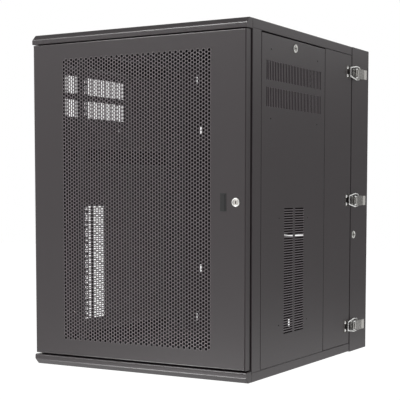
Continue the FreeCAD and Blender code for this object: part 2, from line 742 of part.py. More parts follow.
# ---------------------------------------------------------------------- the locks
OUT_FRONT = Rotation(Vector(1, 0, 0), 90)
OUT_RIGHT = Rotation(Vector(0, 1, 0), 90)
OUT_LEFT = Rotation(Vector(0, 1, 0), -90)


def lock(name, x, y, z, turn, cam_turn, deep="lock_deep", long="cam_long"):
    """A key cam lock: housing, plug and cam, its face looking along its own +z.

    The bore is a true round. The face and the plug are many-sided to stay light, and
    the plug's corners lie on the circle that turns in the bore.
    """
    face, barrel, plug = "lock_face / 2", "lock_barrel / 2", "lock_plug / 2"
    housing = body(f"{name}_lock_housing")
    pad(housing, "z", f"-({deep})", "0", octagon(("0", "0"), barrel))
    pad(housing, "z", "0", "lock_rim", sided(("0", "0"), face, 24))
    cut(housing, "z", f"-({deep}) - past", "lock_rim + past", disc(("0", "0"), f"{plug} + fit"))
    keep(f"{name}_lock_housing", place(housing, x, y, z, turn))
    core = body(f"{name}_lock_plug")
    pad(core, "z", f"-({deep})", "lock_rim - lock_sunk", sided(("0", "0"), plug, 16))
    pad(core, "z", f"-({deep}) - cam_thick - stem_past", f"-({deep})",
        rect(("-stem_wide / 2", "-stem_wide / 2"), ("stem_wide / 2", "stem_wide / 2")))
    cut(core, "z", "lock_rim - key_deep", "lock_rim",
        rect(("-key_wide / 2", "-key_tall / 2"), ("key_wide / 2", "key_tall / 2")))
    keep(f"{name}_lock_plug", place(core, x, y, z, turn))
    cam = body(f"{name}_lock_cam")
    half, tip = "cam_wide / 2", "cam_wide / 2 - cam_taper"
    pad(cam, "z", f"-({deep}) - cam_thick", f"-({deep})",
        poly([(f"-{half}", f"-{half} / 2"), (f"-{half} / 2", f"-{half}"), (f"{half} / 2", f"-{half}"),
              (half, f"-{half} / 2"), (tip, long), (f"-({tip})", long)]))
    cut(cam, "z", f"-({deep}) - cam_thick - past", f"-({deep}) + past",
        rect(("-stem_wide / 2 - fit", "-stem_wide / 2 - fit"),
             ("stem_wide / 2 + fit", "stem_wide / 2 + fit")))
    keep(f"{name}_lock_cam", place(cam, x, y, z, turn * Rotation(Vector(0, 0, 1), cam_turn)))


def locks():
    """Door, side panel and wall section locks, all of one kind."""
    lock("door", "door_lock_x", "door_front", "0", OUT_FRONT, 180,
         "door_lock_deep", "door_cam_long")
    lock("right_panel", "half_width", "vent_mid", "half_height - panel_lock_drop", OUT_RIGHT, 0)
    lock("left_panel", "-half_width", "vent_mid", "half_height - panel_lock_drop", OUT_LEFT, 0)
    lock("wall", "half_width", "wall_front + wall_lock_in", "-wall_lock_low", OUT_RIGHT, 180,
         "lock_deep", "wall_cam_long")


# -------------------------------------------------------------------- the latches
def latches():
    """Three draw latches: base, pin, lever, wire bail and strike."""
    bases, strikes = [], []
    for name, level in (("top", "latch_height"), ("middle", "0"), ("bottom", "-latch_height")):
        bases.append(latch_base(name, level))
        strikes.append(latch_strike(name, level))
        latch_lever(name, level)
        latch_bail(name, level)
    group("latch_bases", bases)
    group("latch_strikes", strikes)


def latch_base(name, level):
    """Base plate with two ears and the lever's pivot pin."""
    base = body(f"latch_base_{name}")
    pad(base, "x", "half_width", "half_width + sheet",
        rect(("wall_front + base_inset", f"{level} - ear_out"),
             ("lever_y + lever_long - base_short", f"{level} + ear_out")))
    slant = "ear_half * cos(45)"
    for way in (-1, 1):
        edges = [f"{level} + {way} * (ear_out - sheet)", f"{level} + {way} * ear_out"]
        low, high = edges[::way]
        pad(base, "z", low, high,
            poly([("half_width", "lever_y - ear_half"), ("lever_x", "lever_y - ear_half"),
                  (f"lever_x + {slant}", f"lever_y - {slant}"), ("lever_x + ear_half", "lever_y"),
                  (f"lever_x + {slant}", f"lever_y + {slant}"), ("lever_x", "lever_y + ear_half"),
                  ("half_width", "lever_y + ear_half")]))
    pad(base, "z", f"{level} - lever_wide / 2", f"{level} + lever_wide / 2",
        disc(("lever_x", "lever_y"), "lever_pin / 2"))
    return base


def latch_strike(name, level):
    """Strike plate screwed to the body, with an upturned hook."""
    strike = body(f"latch_strike_{name}")
    hook = "half_width + bail_out - bail_wire / 2 - hook_gap"
    points = [("half_width", "strike_front"), ("half_width", "strike_back"), (hook, "strike_back"),
              (hook, "strike_back - sheet"), ("half_width + sheet", "strike_back - sheet"),
              ("half_width + sheet", "strike_front")]
    pad(strike, "z", f"{level} - strike_tall / 2", f"{level} + strike_tall / 2", poly(points))
    for way in (-1, 1):
        pad(strike, "x", "half_width + sheet", "half_width + sheet + screw_rise",
            octagon(("(strike_front + strike_back) / 2", f"{level} + {way} * strike_screws / 2"),
                    "screw_head / 2"))
    return strike


def latch_lever(name, level):
    """Folded lever: a channel that opens towards the cabinet and at its nose."""
    lever = body(f"latch_lever_{name}")
    low, high = f"{level} - lever_wide / 2", f"{level} + lever_wide / 2"
    end = "lever_y + lever_long"
    slant = "lever_rise * cos(45)"
    top, foot = "lever_x + lever_rise", f"lever_x - {slant}"
    under = f"{top} - sheet"
    pad(lever, "z", low, high,
        poly([(foot, f"lever_y - {slant}"), ("lever_x", "lever_y - lever_rise"),
              (f"lever_x + {slant}", f"lever_y - {slant}"), (top, "lever_y"),
              (top, f"{end} - lip_long"), (f"{top} + lip_rise", f"{end} - lip_blunt"),
              (f"{top} + lip_rise - sheet", end), (under, f"{end} - lip_long + sheet"),
              ("lever_x", f"{end} - lip_long - cheek_past"),
              (foot, "lever_y + latch_throw + cheek_past")]))
    cut(lever, "z", f"{low} + sheet", f"{high} - sheet",
        poly([(f"{foot} - lever_rise", "lever_y - 2 * lever_rise"),
              (f"{top} + lever_nose", "lever_y - 2 * lever_rise"),
              (f"{top} + lever_nose", "lever_y - lever_nose"), (under, "lever_y - lever_nose"),
              (under, f"{end} - lip_long"), ("lever_x", f"{end} - lip_long"),
              (f"{foot} - lever_rise", "lever_y + latch_throw")]))
    cut(lever, "z", f"{low} - past", f"{high} + past",
        octagon(("lever_x", "lever_y"), "lever_pin / 2 + fit"))
    cut(lever, "z", f"{low} - past", f"{high} + past",
        disc(("bail_x", "bail_y"), "bail_wire / 2 * eight + fit"))
    keep(f"latch_lever_{name}", lever)


def latch_bail(name, level):
    """Wire bail: a sweep with mitred corners, its two ends turned into the lever."""
    number = {alias: sheet.get(alias) for alias in ALIASES}
    root, widest, nose = [(number[size] - number["bail_wire"]) / 2
                          for size in ("bail_root", "bail_wide", "bail_nose")]
    end = number["lever_wide"] / 2 - number["sheet"] + number["bail_short"]
    bend, front = -number["bail_bend"], -number["bail_long"]
    half_route = [(end, 0), (root, 0), (widest, bend), (nose, front)]
    route = half_route + [(-z, y) for z, y in reversed(half_route)]
    path = Part.makePolygon([Vector(0, y, z) for z, y in route])
    reach = number["bail_wire"] / 2 / math.cos(math.pi / 8)
    ring = [Vector(spot.x, spot.y, end) for spot in ring_of(8, reach, 0.5)]
    height = number["overall_height"] / 2 - number["latch_drop"]
    middle = {"top": 1, "middle": 0, "bottom": -1}[name] * height
    x = number["overall_width"] / 2 + number["bail_out"]
    y = -number["wall_section_depth"] + number["latch_pin_in"] + number["latch_throw"]
    bail = doc.addObject("Part::Feature", f"latch_bail_{name}")
    # makeSolid, no Frenet turning, mitred corners
    bail.Shape = path.makePipeShell([Part.makePolygon(ring + ring[:1])], True, False, 1)
    bail.Placement = Placement(Vector(x, y, middle), Rotation())
    keep(f"latch_bail_{name}", bail)


def lock_keeper():
    """Tongue on the rear frame; the wall section's lock turns its cam up before the lip."""
    keeper = body("lock_keeper")
    top = "-wall_lock_low + wall_cam_long + keeper_over"
    low = "-wall_lock_low + cam_wide / 2 + keeper_over / 2"
    back = "wall_front + wall_lock_in + cam_wide / 2 + cam_gap + sheet"
    points = [("body_back", top), (back, top), (back, low), (f"{back} - sheet", low),
              (f"{back} - sheet", f"{top} - sheet"), ("body_back", f"{top} - sheet")]
    pad(keeper, "x", "keeper_in", "keeper_in + keeper_wide", poly(points))
    pad(keeper, "y", "body_back", "body_back + sheet",
        rect(("keeper_in", f"{top} - sheet"),
             ("keeper_in + keeper_wide", f"{top} + keeper_foot")))
    keep("lock_keeper", keeper)


# ------------------------------------------------------------------ build and check
back_panel()
wall_sides()
wall_ends()
hinges()
covers()
trims()
front_frame()
side_strips()
rear_frame()
rack_rails()
depth_brackets()
side_panels()
door_skin()
door_inside()
locks()
latches()
lock_keeper()
doc.recompute()

faults = []
for item in doc.Objects:
    if "Invalid" in item.State or "Error" in item.State:
        faults.append(f"{item.Name} ({item.Label}) is {item.State}")
    if item.TypeId in ("PartDesign::Pocket", "PartDesign::Pad"):
        base = item.BaseFeature
        if base and abs(item.Shape.Volume - base.Shape.Volume) < 1e-6:
            faults.append(f"{item.Name} of {item.getParent().Label} changes nothing")
for name, item in PARTS.items():
    if item.Shape.isNull() or not item.Shape.isValid():
        faults.append(f"{name} has a bad shape")
if faults:
    raise SystemExit("\n".join(faults))

os.makedirs("parts", exist_ok=True)
for name, item in PARTS.items():
    item.Shape.exportStep(f"parts/{name}.step")
print(len(PARTS), "nodes written")
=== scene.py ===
# %% Load the frame
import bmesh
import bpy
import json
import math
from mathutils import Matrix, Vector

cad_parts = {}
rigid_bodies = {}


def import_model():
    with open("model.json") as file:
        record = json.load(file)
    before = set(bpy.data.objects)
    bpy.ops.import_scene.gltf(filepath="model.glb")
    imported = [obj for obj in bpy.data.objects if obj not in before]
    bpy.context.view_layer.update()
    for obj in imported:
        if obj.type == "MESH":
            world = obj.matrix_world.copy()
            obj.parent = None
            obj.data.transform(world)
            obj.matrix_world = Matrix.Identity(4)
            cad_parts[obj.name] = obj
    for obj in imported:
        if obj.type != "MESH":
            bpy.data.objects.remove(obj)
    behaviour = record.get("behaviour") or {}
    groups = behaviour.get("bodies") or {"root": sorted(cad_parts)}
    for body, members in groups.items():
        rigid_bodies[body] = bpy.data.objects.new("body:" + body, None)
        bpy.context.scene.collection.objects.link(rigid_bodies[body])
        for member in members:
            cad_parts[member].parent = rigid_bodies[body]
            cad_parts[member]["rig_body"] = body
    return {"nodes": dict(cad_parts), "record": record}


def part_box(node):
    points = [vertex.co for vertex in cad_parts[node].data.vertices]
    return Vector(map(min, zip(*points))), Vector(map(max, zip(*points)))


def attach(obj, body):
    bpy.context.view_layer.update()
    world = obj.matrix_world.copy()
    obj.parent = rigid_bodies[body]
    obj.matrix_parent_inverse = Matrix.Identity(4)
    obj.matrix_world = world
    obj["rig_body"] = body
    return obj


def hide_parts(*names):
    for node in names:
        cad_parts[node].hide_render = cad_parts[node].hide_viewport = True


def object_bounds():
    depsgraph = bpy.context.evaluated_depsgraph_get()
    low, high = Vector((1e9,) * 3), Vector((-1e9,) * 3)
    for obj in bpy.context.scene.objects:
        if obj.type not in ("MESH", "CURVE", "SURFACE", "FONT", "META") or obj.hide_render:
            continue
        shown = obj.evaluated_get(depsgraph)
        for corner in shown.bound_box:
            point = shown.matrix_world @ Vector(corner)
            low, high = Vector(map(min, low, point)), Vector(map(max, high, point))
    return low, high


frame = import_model()

# %% [markdown]
# # A swing-out wall cabinet for network equipment
# The cabinet is made of folded sheet steel. A shallow wall section is bolted to the
# wall, and the deep body swings away from it on two hinges. Three draw latches and a
# key lock hold the body closed. The CAD model already holds every part at its real
# size, so this notebook only dresses it: it rounds the folds, punches the fine holes,
# shapes the latches and locks, and paints each surface.

MM = 0.001
NODES = frame["nodes"]
cad_low, cad_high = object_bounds()
print("CAD box in mm:", [round(v / MM) for v in (*cad_low, *cad_high)])

# %% [markdown]
# ## The camera
# A wide lens close by would make the upright edges lean and the near corner loom. A long
# lens far away keeps them almost parallel. The camera looks a little down, and its sensor
# is shifted instead of tilting it further, so that the whole cabinet fills the frame.

# %% Camera
CAMERA_PLACE = Vector((1.6027, -3.2440, 0.0256))
CAMERA_TURN = math.radians(30.39)
CAMERA_PITCH = math.radians(-4.17)
CAMERA_LENS, CAMERA_SENSOR = 99.2, 36
CAMERA_SHIFT = (0.0215, 0.181)

bpy.ops.object.camera_add(location=CAMERA_PLACE)
camera = bpy.context.object
camera.name = "camera"
camera.rotation_euler = (math.pi / 2 + CAMERA_PITCH, 0, CAMERA_TURN)
camera.data.sensor_width = CAMERA_SENSOR
camera.data.lens = CAMERA_LENS
camera.data.shift_x, camera.data.shift_y = CAMERA_SHIFT
bpy.context.scene.camera = camera
print("camera stands", round((CAMERA_PLACE - (cad_low + cad_high) / 2).length, 2), "m away")

# %% [markdown]
# ## Colours and nodes
# Colours are written as sRGB hex values, the way a paint chart gives them, and one
# function turns them to the linear numbers that Blender works in. One more function
# adds a shader node with its settings and links, so that each material reads as a list,
# and a last one tells the kinds of ray apart.


# %% Colour and node helpers
def paint(code):
    """A linear colour from an sRGB hex code such as #4a4748."""
    channels = [int(code[k:k + 2], 16) / 255 for k in (1, 3, 5)]
    return [c / 12.92 if c <= 0.04045 else ((c + 0.055) / 1.055) ** 2.4
            for c in channels] + [1]


def add(tree, kind, inputs=None, **settings):
    """Add a node. inputs gives its sockets a value or a link; settings are its own."""
    made = tree.nodes.new(kind)
    for name, value in settings.items():
        setattr(made, name, value)
    for name, value in (inputs or {}).items():
        if isinstance(value, bpy.types.NodeSocket):
            tree.links.new(value, made.inputs[name])
        else:
            made.inputs[name].default_value = value
    return made


def blank(name):
    """An empty material and its node tree."""
    made = bpy.data.materials.new(name)
    made.use_nodes = True
    made.node_tree.nodes.clear()
    return made, made.node_tree


def seen_by(tree, *kinds):
    """An output that is 1 for these kinds of ray and 0 for all others."""
    path = add(tree, "ShaderNodeLightPath")
    seen = path.outputs[kinds[0]]
    for kind in kinds[1:]:
        seen = add(tree, "ShaderNodeMath", {0: seen, 1: path.outputs[kind]},
                   operation="MAXIMUM").outputs[0]
    return seen


print("middle grey #808080 is", round(paint("#808080")[0], 3), "in linear light")

# %% [markdown]
# ## Light and backdrop
# Satin paint and plating show what is round them, so the light is set in two halves.
# Lamps and a soft world, dimmer overhead so that the top isn't the brightest face, give
# the diffuse light. The camera and the reflections see a plain white world instead, and
# that white never adds light to the cabinet.

# %% World
WORLD_LEVEL, OVERHEAD_LEVEL = 0.50, 0.26
DIM_FROM, DIM_TO = 0.05, 0.75
WHITE = (1, 1, 1, 1)

world = bpy.data.worlds.new("studio")
bpy.context.scene.world = world
world.use_nodes = True
tree = world.node_tree
tree.nodes.clear()
place = add(tree, "ShaderNodeTexCoord")
height = add(tree, "ShaderNodeSeparateXYZ", {"Vector": place.outputs["Generated"]})
level = add(tree, "ShaderNodeMapRange", {
    "Value": height.outputs["Z"], "From Min": DIM_FROM, "From Max": DIM_TO,
    "To Min": WORLD_LEVEL, "To Max": OVERHEAD_LEVEL})
soft = add(tree, "ShaderNodeBackground",
           {"Color": WHITE, "Strength": level.outputs["Result"]})
plain = add(tree, "ShaderNodeBackground", {"Color": WHITE, "Strength": 1.0})
seen = seen_by(tree, "Is Camera Ray", "Is Transmission Ray", "Is Glossy Ray")
both = add(tree, "ShaderNodeMixShader", {0: seen, 1: soft.outputs[0], 2: plain.outputs[0]})
add(tree, "ShaderNodeOutputWorld", {"Surface": both.outputs[0]})
print("world level", WORLD_LEVEL, "at the sides and", OVERHEAD_LEVEL, "overhead")

# %% [markdown]
# The real cabinet hangs on a wall, so the floor of white paper lies far below it. It
# bounces a little light up, and glows in part for the camera and for gloss, so that it
# runs into the white background without an edge.

# %% Floor
FLOOR_SIZE, FLOOR_DROP = 40, 0.9
GLOW_LEVEL, GLOW_SHARE = 1.25, 0.8

bpy.ops.mesh.primitive_plane_add(size=FLOOR_SIZE, location=(0, 0, cad_low.z - FLOOR_DROP))
floor = bpy.context.object
floor.name = "floor"
white, tree = blank("white studio paper")
paper = add(tree, "ShaderNodeBsdfDiffuse", {"Color": paint("#f4f4f4")})
glow = add(tree, "ShaderNodeEmission", {"Color": WHITE, "Strength": GLOW_LEVEL})
seen = seen_by(tree, "Is Camera Ray", "Is Glossy Ray")
share = add(tree, "ShaderNodeMath", {0: seen, 1: GLOW_SHARE}, operation="MULTIPLY")
both = add(tree, "ShaderNodeMixShader", {0: share.outputs[0], 1: paper.outputs[0],
                                         2: glow.outputs[0]})
add(tree, "ShaderNodeOutputMaterial", {"Surface": both.outputs[0]})
floor.data.materials.append(white)
print("floor lies", FLOOR_DROP, "m below the cabinet")

# %% [markdown]
# Four large soft boxes light the cabinet: a key from the upper left, a low one for the
# foot of the door, a weak one beside the camera, and a broad one for the right side.
# None shows in gloss, where its mirror image would lie on the paint as a hard patch.


# %% Lamps
def towards(place, aim):
    """The turn that points an object's -Z from a place to a point."""
    return (Vector(aim) - Vector(place)).to_track_quat("-Z", "Y").to_euler()


def soft_lamp(name, place, aim, size, power):
    """A square soft box at a place, turned to a point, that gloss doesn't show."""
    bpy.ops.object.light_add(type="AREA", location=place, rotation=towards(place, aim))
    lamp = bpy.context.object
    lamp.name = name
    lamp.data.shape = "SQUARE"
    lamp.data.size = size
    lamp.data.energy = power
    lamp.visible_camera = False
    lamp.visible_glossy = False


# name, place, aim, size in metres, power in watts
LAMPS = [("key_box", (-2.1, -3.5, 2.5), (0, -0.6, 0), 1.5, 52),
         ("low_box", (-1.2, -2.6, -1.1), (-0.1, -0.7, -0.3), 0.8, 9),
         ("camera_fill", (1.9, -3.5, 0.35), (0, -0.5, 0), 1.2, 8),
         ("right_fill", (3.6, -1.2, 0.2), (0.3, -0.4, 0), 2.0, 28)]
for lamp in LAMPS:
    soft_lamp(*lamp)
print(len(LAMPS), "lamps with", sum(lamp[-1] for lamp in LAMPS), "W in all")

# %% [markdown]
# Gloss gets its own light: cards that only reflections see. The big dark ones stand
# where the white world would make the top, the right side and the rounded corner too
# pale. The bright strips put a thin line of light on the trims' round edges, the plating
# and the wires. A dimmer world would darken all gloss alike; cards place each reflection.


# %% Grey cards and bright strips
def grey_card(name, place, aim, wide, tall, level):
    """A card of one grey that only mirror images see."""
    bpy.ops.mesh.primitive_plane_add(size=1, location=place, rotation=towards(place, aim))
    card = bpy.context.object
    card.name = name
    card.scale = (wide, tall, 1)
    grey, tree = blank(name + " paper")
    glow = add(tree, "ShaderNodeEmission", {"Color": WHITE, "Strength": level})
    add(tree, "ShaderNodeOutputMaterial", {"Surface": glow.outputs[0]})
    card.data.materials.append(grey)
    card.visible_camera = False
    card.visible_diffuse = False
    card.visible_transmission = False
    card.visible_shadow = False


# name, place, aim, width and height in metres, level
CARDS = [("overhead_card", (-1.0, 0.4, 3.0), (-1.0, 0.4, 0), 6.0, 5.0, 0.25),
         ("right_back_card", (1.39, 3.67, 0.0), (0.3, -0.4, 0), 3.96, 2.0, 0.27),
         ("right_front_card", (2.9, -2.0, 0.0), (0.3, -0.7, 0), 3.4, 5.0, 0.02),
         ("high_strip", (-2.1, -3.5, 2.5), (0, -0.7, 0.1), 1.4, 1.2, 13.0),
         ("edge_strip", (-0.95, -2.67, 3.1), (0, -0.8, 0.43), 1.6, 1.2, 24.0),
         ("low_strip", (-0.86, -2.48, -1.11), (0, -0.8, -0.42), 0.9, 0.4, 5.0),
         ("low_edge_strip", (-0.32, -1.44, -1.07), (0, -0.8, -0.43), 0.9, 0.4, 14.0),
         ("wire_strip", (0.34, 4.9, 2.3), (0.34, -0.13, 0), 2.4, 0.8, 2.4)]
for card in CARDS:
    grey_card(*card)
print(len(CARDS), "cards and strips for gloss")

# %% [markdown]
# ## Paint
# The sheet steel has a fine satin powder coat. Powder is sprayed on dry and melted, so
# its skin is smooth but never flat: it has a faint orange peel, about a millimetre from
# hill to hill, that breaks up reflections. A real peel that fine doesn't show at this
# distance, so the bump is drawn two to three times as coarse. Broad clouds shift the
# tone by a few parts in a hundred, because no coat is equally thick all over.
#
# One coat serves all outer parts. The webs between the holes and between the slots catch
# light on their cut edges, which this simple mesh doesn't show, so they get a lighter
# tone of it as a painted highlight. Inside, the coat is matt and darkened to nearly black
# as painted shade.

# %% Powder coat
PEEL = 2.5 * MM
CLOUD = 180 * MM
TONE_SPREAD = 0.06
GLOSS_SPREAD = 0.05
# a Mix node's colour sockets share their names with its other sockets
COLOUR_A, COLOUR_B, COLOUR_OUT = 6, 7, 2


def powder_coat(name, code, roughness, ior=1.5):
    """Powder coat: orange peel in the bump, and a little unevenness in the tone."""
    made, tree = blank(name)
    place = add(tree, "ShaderNodeTexCoord")
    hills = add(tree, "ShaderNodeTexNoise", {
        "Vector": place.outputs["Object"], "Scale": 1 / PEEL, "Detail": 3.0,
        "Roughness": 0.6})
    clouds = add(tree, "ShaderNodeTexNoise", {
        "Vector": place.outputs["Object"], "Scale": 1 / CLOUD, "Detail": 2.0})
    colour = paint(code)
    tone = add(tree, "ShaderNodeMix", {
        "Factor": clouds.outputs["Fac"],
        COLOUR_A: [c * (1 - TONE_SPREAD) for c in colour[:3]] + [1],
        COLOUR_B: [c * (1 + TONE_SPREAD) for c in colour[:3]] + [1]}, data_type="RGBA")
    gloss = add(tree, "ShaderNodeMapRange", {
        "Value": hills.outputs["Fac"], "From Min": 0.3, "From Max": 0.7,
        "To Min": roughness - GLOSS_SPREAD, "To Max": roughness + GLOSS_SPREAD})
    bump = add(tree, "ShaderNodeBump", {
        "Height": hills.outputs["Fac"], "Strength": 0.12, "Distance": 0.05 * MM})
    skin = add(tree, "ShaderNodeBsdfPrincipled", {
        "Base Color": tone.outputs[COLOUR_OUT], "Roughness": gloss.outputs["Result"],
        "Normal": bump.outputs["Normal"], "IOR": ior})
    add(tree, "ShaderNodeOutputMaterial", {"Surface": skin.outputs[0]})
    return made


MATT_IOR = 1.2
outer_coat = powder_coat("satin powder coat on steel", "#352f31", 0.34)
# the webs between the holes get a lighter tone of the coat: a painted highlight
field_painted_highlight_coat = powder_coat("satin powder coat between the holes", "#726b6e", 0.36)
# the webs between the slots get a lighter tone of the coat: a painted highlight
slot_painted_highlight_coat = powder_coat("satin powder coat between the slots", "#625b5e", 0.34)
back_coat = powder_coat("matt powder coat on the back", "#352f31", 0.6, MATT_IOR)
# the inside is darkened to nearly black: painted shade
inner_coat = powder_coat("matt powder coat inside", "#1f1e1e", 0.6, MATT_IOR)
rail_coat = powder_coat("black powder coat on rails", "#232324", 0.5)
coats = [m.name for m in bpy.data.materials if "powder coat" in m.name]
print(len(coats), "powder coats, peel drawn at", round(PEEL / MM, 1), "mm")

# %% [markdown]
# ## Plating
# The latches and locks are zinc castings and pressings with bright chrome or zinc
# plating; the strikes get a darker zinc colour. Plating mirrors what is round it, so it
# is a metal with a low roughness, and fine wiping marks blur it here and there. The marks
# are a small noise in the roughness, about four millimetres apart.

# %% Plated metal
WIPE = 4 * MM


def plated(name, code, roughness, marks):
    """Plated metal: a mirror colour with small wiping marks in its roughness."""
    made, tree = blank(name)
    place = add(tree, "ShaderNodeTexCoord")
    wiped = add(tree, "ShaderNodeTexNoise", {
        "Vector": place.outputs["Object"], "Scale": 1 / WIPE, "Detail": 4.0})
    gloss = add(tree, "ShaderNodeMapRange", {
        "Value": wiped.outputs["Fac"], "From Min": 0.35, "From Max": 0.65,
        "To Min": roughness, "To Max": roughness + marks})
    metal = add(tree, "ShaderNodeBsdfPrincipled", {
        "Base Color": paint(code), "Metallic": 1.0, "Roughness": gloss.outputs["Result"]})
    add(tree, "ShaderNodeOutputMaterial", {"Surface": metal.outputs[0]})
    return made


chrome = plated("bright chrome plating", "#f6f6f4", 0.22, 0.10)
ring_chrome = plated("satin chrome plating", "#e4e4e0", 0.3, 0.08)
zinc = plated("bright zinc plating", "#b2b0ac", 0.24, 0.12)
# the strikes get a darker zinc colour than the other plating
dark_zinc = plated("black zinc plating", "#6e6b69", 0.3, 0.10)
satin_zinc = plated("satin zinc casting", "#b3b0ac", 0.34, 0.10)
platings = (chrome, ring_chrome, zinc, dark_zinc, satin_zinc)
print(len(platings), "platings:", [m.name for m in platings])

# %% [markdown]
# The small plate on the door is moulded black ABS. Its mould was cut by sparks, which
# leave a fine even grain, so the bump is one fine noise without clouds.

# %% Moulded plastic
GRAIN = 0.8 * MM


def moulded(name, code, roughness):
    """Moulded plastic with a fine spark-eroded grain."""
    made, tree = blank(name)
    place = add(tree, "ShaderNodeTexCoord")
    grain = add(tree, "ShaderNodeTexNoise", {
        "Vector": place.outputs["Object"], "Scale": 1 / GRAIN, "Detail": 2.0})
    bump = add(tree, "ShaderNodeBump", {
        "Height": grain.outputs["Fac"], "Strength": 0.2, "Distance": 0.03 * MM})
    skin = add(tree, "ShaderNodeBsdfPrincipled", {
        "Base Color": paint(code), "Roughness": roughness,
        "Normal": bump.outputs["Normal"], "IOR": 1.46})
    add(tree, "ShaderNodeOutputMaterial", {"Surface": skin.outputs[0]})
    return made


black_plastic = moulded("black ABS", "#1b1b1c", 0.35)
print("grain drawn at", round(GRAIN / MM, 1), "mm")

# %% [markdown]
# ## Working by hand, in code
# Each new piece starts as a primitive at its size and place and is shaped in edit mode.
# These helpers make a piece active, pick faces or edges by their place, and finish it:
# its place goes into its mesh, it gets its material, and it rides on its body. Weighted
# normals keep wide flat faces flat beside small rounded edges.


# %% Modelling helpers
def activate(piece):
    """Make one piece the only selected and active one."""
    bpy.ops.object.select_all(action="DESELECT")
    piece.select_set(True)
    bpy.context.view_layer.objects.active = piece


def pick(piece, kind, wanted):
    """In edit mode, select only the verts, edges or faces that pass a test."""
    bpy.ops.mesh.select_all(action="DESELECT")
    mode = {"verts": "VERT", "edges": "EDGE", "faces": "FACE"}[kind]
    bpy.ops.mesh.select_mode(type=mode)
    mesh = bmesh.from_edit_mesh(piece.data)
    for element in getattr(mesh, kind):
        if wanted(element):
            element.select_set(True)
    mesh.select_flush_mode()
    bmesh.update_edit_mesh(piece.data)


def middle(element):
    """The middle of an edge or face, in the mesh's own space."""
    return sum((v.co for v in element.verts), Vector()) / len(element.verts)


def modify(piece, kind, **settings):
    """Add a modifier and apply it."""
    activate(piece)
    made = piece.modifiers.new(kind.lower(), kind)
    for name, value in settings.items():
        setattr(made, name, value)
    bpy.ops.object.modifier_apply(modifier=made.name)


def thicken(piece, sheet):
    """Give a flat sheet its thickness, away from the side it faces."""
    modify(piece, "SOLIDIFY", thickness=sheet, offset=-1, use_even_offset=True)


def repeated(piece, *steps):
    """Repeat a piece along each (count, offset)."""
    for count, offset in steps:
        modify(piece, "ARRAY", count=count, use_relative_offset=False,
               use_constant_offset=True, constant_offset_displace=offset)
    return piece


def place_in_mesh(piece):
    """Move a piece's place, turn and scale into its mesh."""
    activate(piece)
    bpy.ops.object.transform_apply(location=True, rotation=True, scale=True)


def join(pieces):
    """Join several pieces into the first."""
    activate(pieces[0])
    for piece in pieces[1:]:
        piece.select_set(True)
    bpy.ops.object.join()
    return pieces[0]


def faces_outward():
    """In edit mode, select everything and recalculate its normals."""
    bpy.ops.mesh.select_all(action="SELECT")
    bpy.ops.mesh.normals_make_consistent(inside=False)


def face_towards(piece, way):
    """In edit mode, turn a sheet's faces so that most of their area looks one way."""
    faces_outward()
    mesh = bmesh.from_edit_mesh(piece.data)
    if sum(face.normal.dot(way) * face.calc_area() for face in mesh.faces) < 0:
        bpy.ops.mesh.flip_normals()


SMOOTH_BELOW = math.radians(35)


def dress(piece, name, body, material, stands_for=()):
    """Finish a piece: name, smooth shading, material, body and what it stands for."""
    place_in_mesh(piece)
    piece.name = name
    piece.data.name = name
    piece.data.materials.clear()
    piece.data.materials.append(material)
    activate(piece)
    bpy.ops.object.shade_smooth_by_angle(angle=SMOOTH_BELOW)
    modify(piece, "WEIGHTED_NORMAL", weight=80, keep_sharp=True)
    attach(piece, body)
    if stands_for:
        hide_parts(*stands_for)
    print(name, "has", sum(len(f.vertices) - 2 for f in piece.data.polygons), "triangles")
    return piece


# %% [markdown]
# ## Paint on the parts that stay as they are
# Hinges, brackets, cams, pins and the back panel are hidden or small. Rounding their
# edges wouldn't show, so these CAD parts stay and only get their paint or plating.

# %% Paint for the CAD parts
# the inner coat is darkened to nearly black as painted shade
FINISHES = {"powder_coat": outer_coat, "inner_coat": inner_coat, "rail_coat": rail_coat,
            "chrome": chrome, "zinc": zinc}
SLOT_OF = {part["node"]: part["material_slot"] for part in frame["record"]["subparts"]}

for node, slot in SLOT_OF.items():
    mesh = NODES[node].data
    mesh.materials.clear()
    mesh.materials.append(FINISHES[slot])
NODES["back_panel"].data.materials[0] = back_coat
print("CAD parts painted:", len(SLOT_OF))

# %% [markdown]
# ## The door's perforated field
# The door is a steel pan with a punched field of round holes, staggered by 60 degrees:
# 5/16 inch holes on 3/8 inch centres. Painted dots would be lighter, but nobody could
# look through them, so the holes are real. One hole in its hexagonal cell is modelled,
# two cells make the repeat, and two arrays fill the field. The holes are eight-sided,
# with the area of the round hole, which looks round at this size and stays light.

# %% Door field
HOLE_PITCH = 9.525 * MM
HOLE_WIDE = 7.8 * MM
COLUMNS, ROWS = 56, 80
COLUMN_STEP = HOLE_PITCH * math.sqrt(3) / 2
CELL = HOLE_PITCH / math.sqrt(3)
# corner to middle of an octagon with the area of the round hole
OCTAGON = HOLE_WIDE / 2 * math.sqrt(math.pi / (2 * math.sqrt(2)))
MERGE = 0.02 * MM
FACING_FRONT = (math.pi / 2, 0, 0)

door_low, door_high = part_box("door_skin")
door_middle = (door_low + door_high) / 2


def edge_ring(count, radius, place, turn):
    """A ring of edges at a place, turned to face one way."""
    bpy.ops.mesh.primitive_circle_add(vertices=count, radius=radius, location=place,
                                      rotation=turn)


